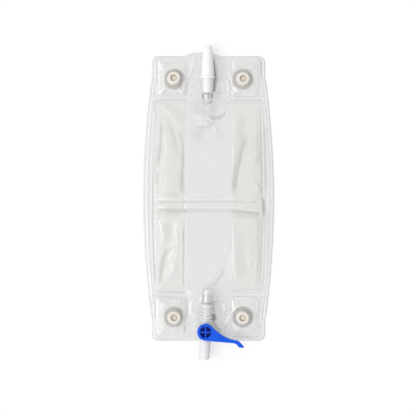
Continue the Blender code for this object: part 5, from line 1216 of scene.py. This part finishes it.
# Lever, with heights above the table
LEVER_UNDERSIDE = 14.15
LEVER_TOP = 17.35
LEVER_EDGE = 0.55
HEAD_RADIUS = 8.3
RECESS_RADIUS = 5.55
RECESS_FLOOR = 11.9
HALF_RIB = 0.65
RIB_DROP = 1.0
QUARTER_TURN = np.linspace(0, math.pi / 2, 5)


def lever_outline():
    """The lever's outline about its axis: a round head, a sweeping waist and a tip that turns down.

    The corners of the arm are cut at a quarter and three quarters of each leg, twice over.
    """
    upper = [
        (6.55, 5.10), (9.9, 1.95), (13.7, -1.15), (17.9, -3.95), (22.6, -6.15), (27.2, -7.55),
        (30.9, -8.1), (33.2, -9.3), (35.6, -11.7), (37.3, -13.7),
    ]
    tip = [(37.75, -14.45), (37.45, -15.1), (36.5, -15.25)]
    lower = [
        (33.3, -15.05), (32.1, -14.2), (30.6, -12.2), (28.9, -11.0), (26.0, -10.6), (16.3, -9.75),
        (7.0, -9.0), (2.2, -8.35),
    ]
    arm = np.array(upper + tip + lower)
    for _ in range(2):
        start, end = arm[:-1], arm[1:]
        cut = np.stack([0.75 * start + 0.25 * end, 0.25 * start + 0.75 * end], 1).reshape(-1, 2)
        arm = np.vstack([arm[:1], cut, arm[-1:]])
    head = HEAD_RADIUS * on_circle(np.radians(np.linspace(-82, -315, 44)))
    return np.vstack([arm, head])


def inward(loop):
    """Unit normals that point into a closed loop drawn in the plane."""
    along = np.roll(loop, -1, axis=0) - np.roll(loop, 1, axis=0)
    along /= np.hypot(*along.T)[:, None]
    normal = np.stack([-along[:, 1], along[:, 0]], -1)
    area = (loop[:, 0] * np.roll(loop[:, 1], -1) - np.roll(loop[:, 0], -1) * loop[:, 1]).sum()
    return normal * (1 if area > 0 else -1)


def on_circle(turn):
    """Points of the unit circle: (cos, sin) of each turn."""
    return np.stack([np.cos(turn), np.sin(turn)], -1)


def quarter(quadrant):
    """One quarter of the round recess, between two ribs of its cross."""
    start = math.asin(HALF_RIB / RECESS_RADIUS)
    arc = RECESS_RADIUS * on_circle(np.linspace(start, math.pi / 2 - start, 12))
    angle = math.pi / 2 * quadrant
    spin = np.array(((math.cos(angle), math.sin(angle)), (-math.sin(angle), math.cos(angle))))
    return np.vstack([[(HALF_RIB, HALF_RIB)], arc]) @ spin


class Build:
    """Gathers loops of points at given heights and the faces between them."""

    def __init__(self):
        self.points, self.faces, self.count = [], [], 0

    def loop(self, plane, height):
        """Adds a loop of points at one height, and gives back their numbers."""
        start = self.count
        self.points.append(np.column_stack([plane, np.full(len(plane), float(height))]))
        self.count += len(plane)
        return np.arange(start, self.count)

    def rings(self, places):
        """Adds a loop of 64 points for each (radius, height)."""
        turn = np.linspace(0, 2 * math.pi, 64, endpoint=False)
        return [self.loop(radius * on_circle(turn), height) for radius, height in places]

    def walls(self, loops):
        """A band of faces between each two loops that follow each other, of as many points."""
        for one, other in zip(loops, loops[1:]):
            self.faces += np.stack([one, np.roll(one, -1), np.roll(other, -1), other], -1).tolist()

    def flat(self, *loops):
        """A flat face inside the first loop and outside the others."""
        everything = np.vstack(self.points)
        numbers = np.concatenate(loops)
        outlines = [[Vector(everything[n]) for n in loop] for loop in loops]
        self.faces += [[int(numbers[n]) for n in face] for face in tessellate_polygon(outlines)]


def drain_lever():
    """Lever, raised collar, recess with its cross of ribs, and the plug below, as one closed piece.

    The edges are quarter circles: inset by edge * (1 - sin) where they rise by edge * (1 - cos).
    """
    outline = lever_outline()
    into = inward(outline)
    made = Build()
    edge = LEVER_EDGE * (1 - np.stack([np.sin(QUARTER_TURN), np.cos(QUARTER_TURN)], -1))
    sides = [made.loop(outline + into * inset, LEVER_UNDERSIDE + rise) for inset, rise in edge]
    sides += [made.loop(outline + into * inset, LEVER_TOP - drop) for drop, inset in edge]
    made.walls(sides)
    collar = [
        (7.0, 0.0), (6.85, 0.10), (6.6, 0.16), (6.2, 0.16), (5.85, 0.02), (5.7, -0.2),
        (5.7, -RIB_DROP),
    ]
    rings = made.rings([(radius, LEVER_TOP + rise) for radius, rise in collar])
    made.flat(sides[-1], rings[0])
    made.walls(rings)
    quarters = [made.loop(quarter(n), LEVER_TOP - RIB_DROP) for n in range(4)]
    made.flat(rings[-1], *quarters)
    for n, top in enumerate(quarters):
        floor = made.loop(quarter(n), RECESS_FLOOR)
        made.walls([top, floor])
        made.flat(floor)
    plug = made.rings([(6.5, LEVER_UNDERSIDE), (6.5, 2.5), (6.9, 2.2), (6.5, 1.5)])
    made.flat(sides[0], plug[0])
    made.walls(plug)
    made.flat(plug[-1])
    points = np.vstack(made.points)
    piece = mesh_piece("drain_lever", points + np.array((*LEVER_AXIS, 0.0)), made.faces, BLUE, 32.0)
    # Painted shade in the recess, darker towards its floor
    inside = np.hypot(points[:, 0], points[:, 1]) < 5.8
    paint(piece, "deep", inside * smooth(LEVER_TOP - 1.2, LEVER_TOP - 2.4, points[:, 2]))
    return piece


def face_out(piece):
    """Turns every face of a closed piece outwards."""
    work = bmesh.new()
    work.from_mesh(piece.data)
    bmesh.ops.recalc_face_normals(work, faces=work.faces)
    work.to_mesh(piece.data)
    work.free()
    return piece


# Stage, in metres, with the name, place, spread in degrees and strength of each lamp
TABLE_HALF = 3.0
TABLE_HEIGHT = -0.0001
LAMPS = (
    ("key", (-0.93, -0.30, 1.15), 60.0, 1.02),
    ("glint", (-0.93, -0.10, 0.90), 12.0, 0.28),
)
CAMERA_PLACE = (-0.0005, -0.0053, 0.9)
SENSOR_WIDTH = 36.0
LENS_LENGTH = 77.9


def seen_rays(tree):
    """1 for the rays that show a surface to the camera, in a gloss or through glass, and 0 for light."""
    path = node(tree, "ShaderNodeLightPath").outputs
    first = maths(tree, "MAXIMUM", path["Is Camera Ray"], path["Is Glossy Ray"])
    return maths(tree, "MAXIMUM", first, path["Is Transmission Ray"])


def stage():
    """A wide pale table, a soft world and two soft lamps."""
    material, tree = new_material("white_table")
    matt = node(tree, "ShaderNodeBsdfDiffuse", {"Color": (0.46, 0.46, 0.46, 1.0)})
    lift = maths(tree, "MULTIPLY", seen_rays(tree), 0.55)
    glow = node(tree, "ShaderNodeEmission", {"Color": (*WHITE, 1.0)}, {"Strength": lift})
    links = {0: matt.outputs["BSDF"], 1: glow.outputs["Emission"]}
    show(tree, node(tree, "ShaderNodeAddShader", None, links).outputs["Shader"])
    x, y = np.meshgrid(*[np.linspace(-TABLE_HALF, TABLE_HALF, 7)] * 2)
    mesh = bpy.data.meshes.new("table")
    points = np.stack([x, y, np.full_like(x, TABLE_HEIGHT)], -1).reshape(-1, 3)
    mesh.from_pydata(points.tolist(), [], grid_faces(7, 7))
    mesh.materials.append(material)
    table = in_scene("table", mesh)

    world = bpy.data.worlds.new("studio")
    bpy.context.scene.world = world
    world.use_nodes = True
    tree = world.node_tree
    tree.nodes.clear()
    strength = remap(tree, seen_rays(tree), 0.70, 0.9)
    air = node(tree, "ShaderNodeBackground", {"Color": (*WHITE, 1.0)}, {"Strength": strength})
    show(tree, air.outputs["Background"], "ShaderNodeOutputWorld")

    for name, place, spread, power in LAMPS:
        lamp = bpy.data.lights.new(name, "SUN")
        lamp.angle = math.radians(spread)
        lamp.energy = power
        holder = in_scene(name, lamp)
        holder.location = place
        holder.rotation_euler = (-Vector(place)).to_track_quat("-Z", "Y").to_euler()


def camera():
    """Straight above the bag, looking down, a little below the bag's middle."""
    lens = bpy.data.cameras.new("camera")
    lens.sensor_width = SENSOR_WIDTH
    lens.lens = LENS_LENGTH
    holder = in_scene("camera", lens)
    holder.location = CAMERA_PLACE
    bpy.context.scene.camera = holder


def dress():
    """Makes each piece, hides the CAD node that it stands for, and lets it ride on its body."""
    cap, barrel, inlet_stub = inlet_pieces()
    outlet_tube, coupling, spigot, housing, nozzle = outlet_pieces()
    rows = [
        (back_film(FILM), "bag", "clear_film", "back_sheet"),
        (front_film(FILM), "bag", "clear_film", "front_sheet"),
        (reflux_sleeve(), "bag", "clear_film", "anti_reflux_valve"),
        (cap, "cap", "white_plastic", "inlet_cap"),
        (barrel, "bag", "white_plastic", "inlet_connector"),
        (inlet_stub, "bag", "clear_tube", "inlet_stub"),
        (outlet_tube, "bag", "clear_tube", "outlet_stub"),
        (coupling, "bag", "milky_plastic", "valve_body"),
        (spigot, "bag", "milky_plastic", "valve_body"),
        (housing, "bag", "milky_plastic", "valve_body"),
        (nozzle, "bag", "soft_white_vinyl", "drain_nozzle"),
        (face_out(drain_lever()), "lever", "blue_plastic", "valve_lever"),
    ]
    for place in BUTTON_PLACES:
        rows.append((strap_button(place), "bag", "cream_plastic", f"strap_button_{place}"))
    for piece, body, slot, cad_node in rows:
        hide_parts(cad_node)
        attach(piece, body)


dress()
stage()
camera()
scene = bpy.context.scene
scene.view_settings.view_transform = "Standard"
scene.cycles.transparent_max_bounces = 32
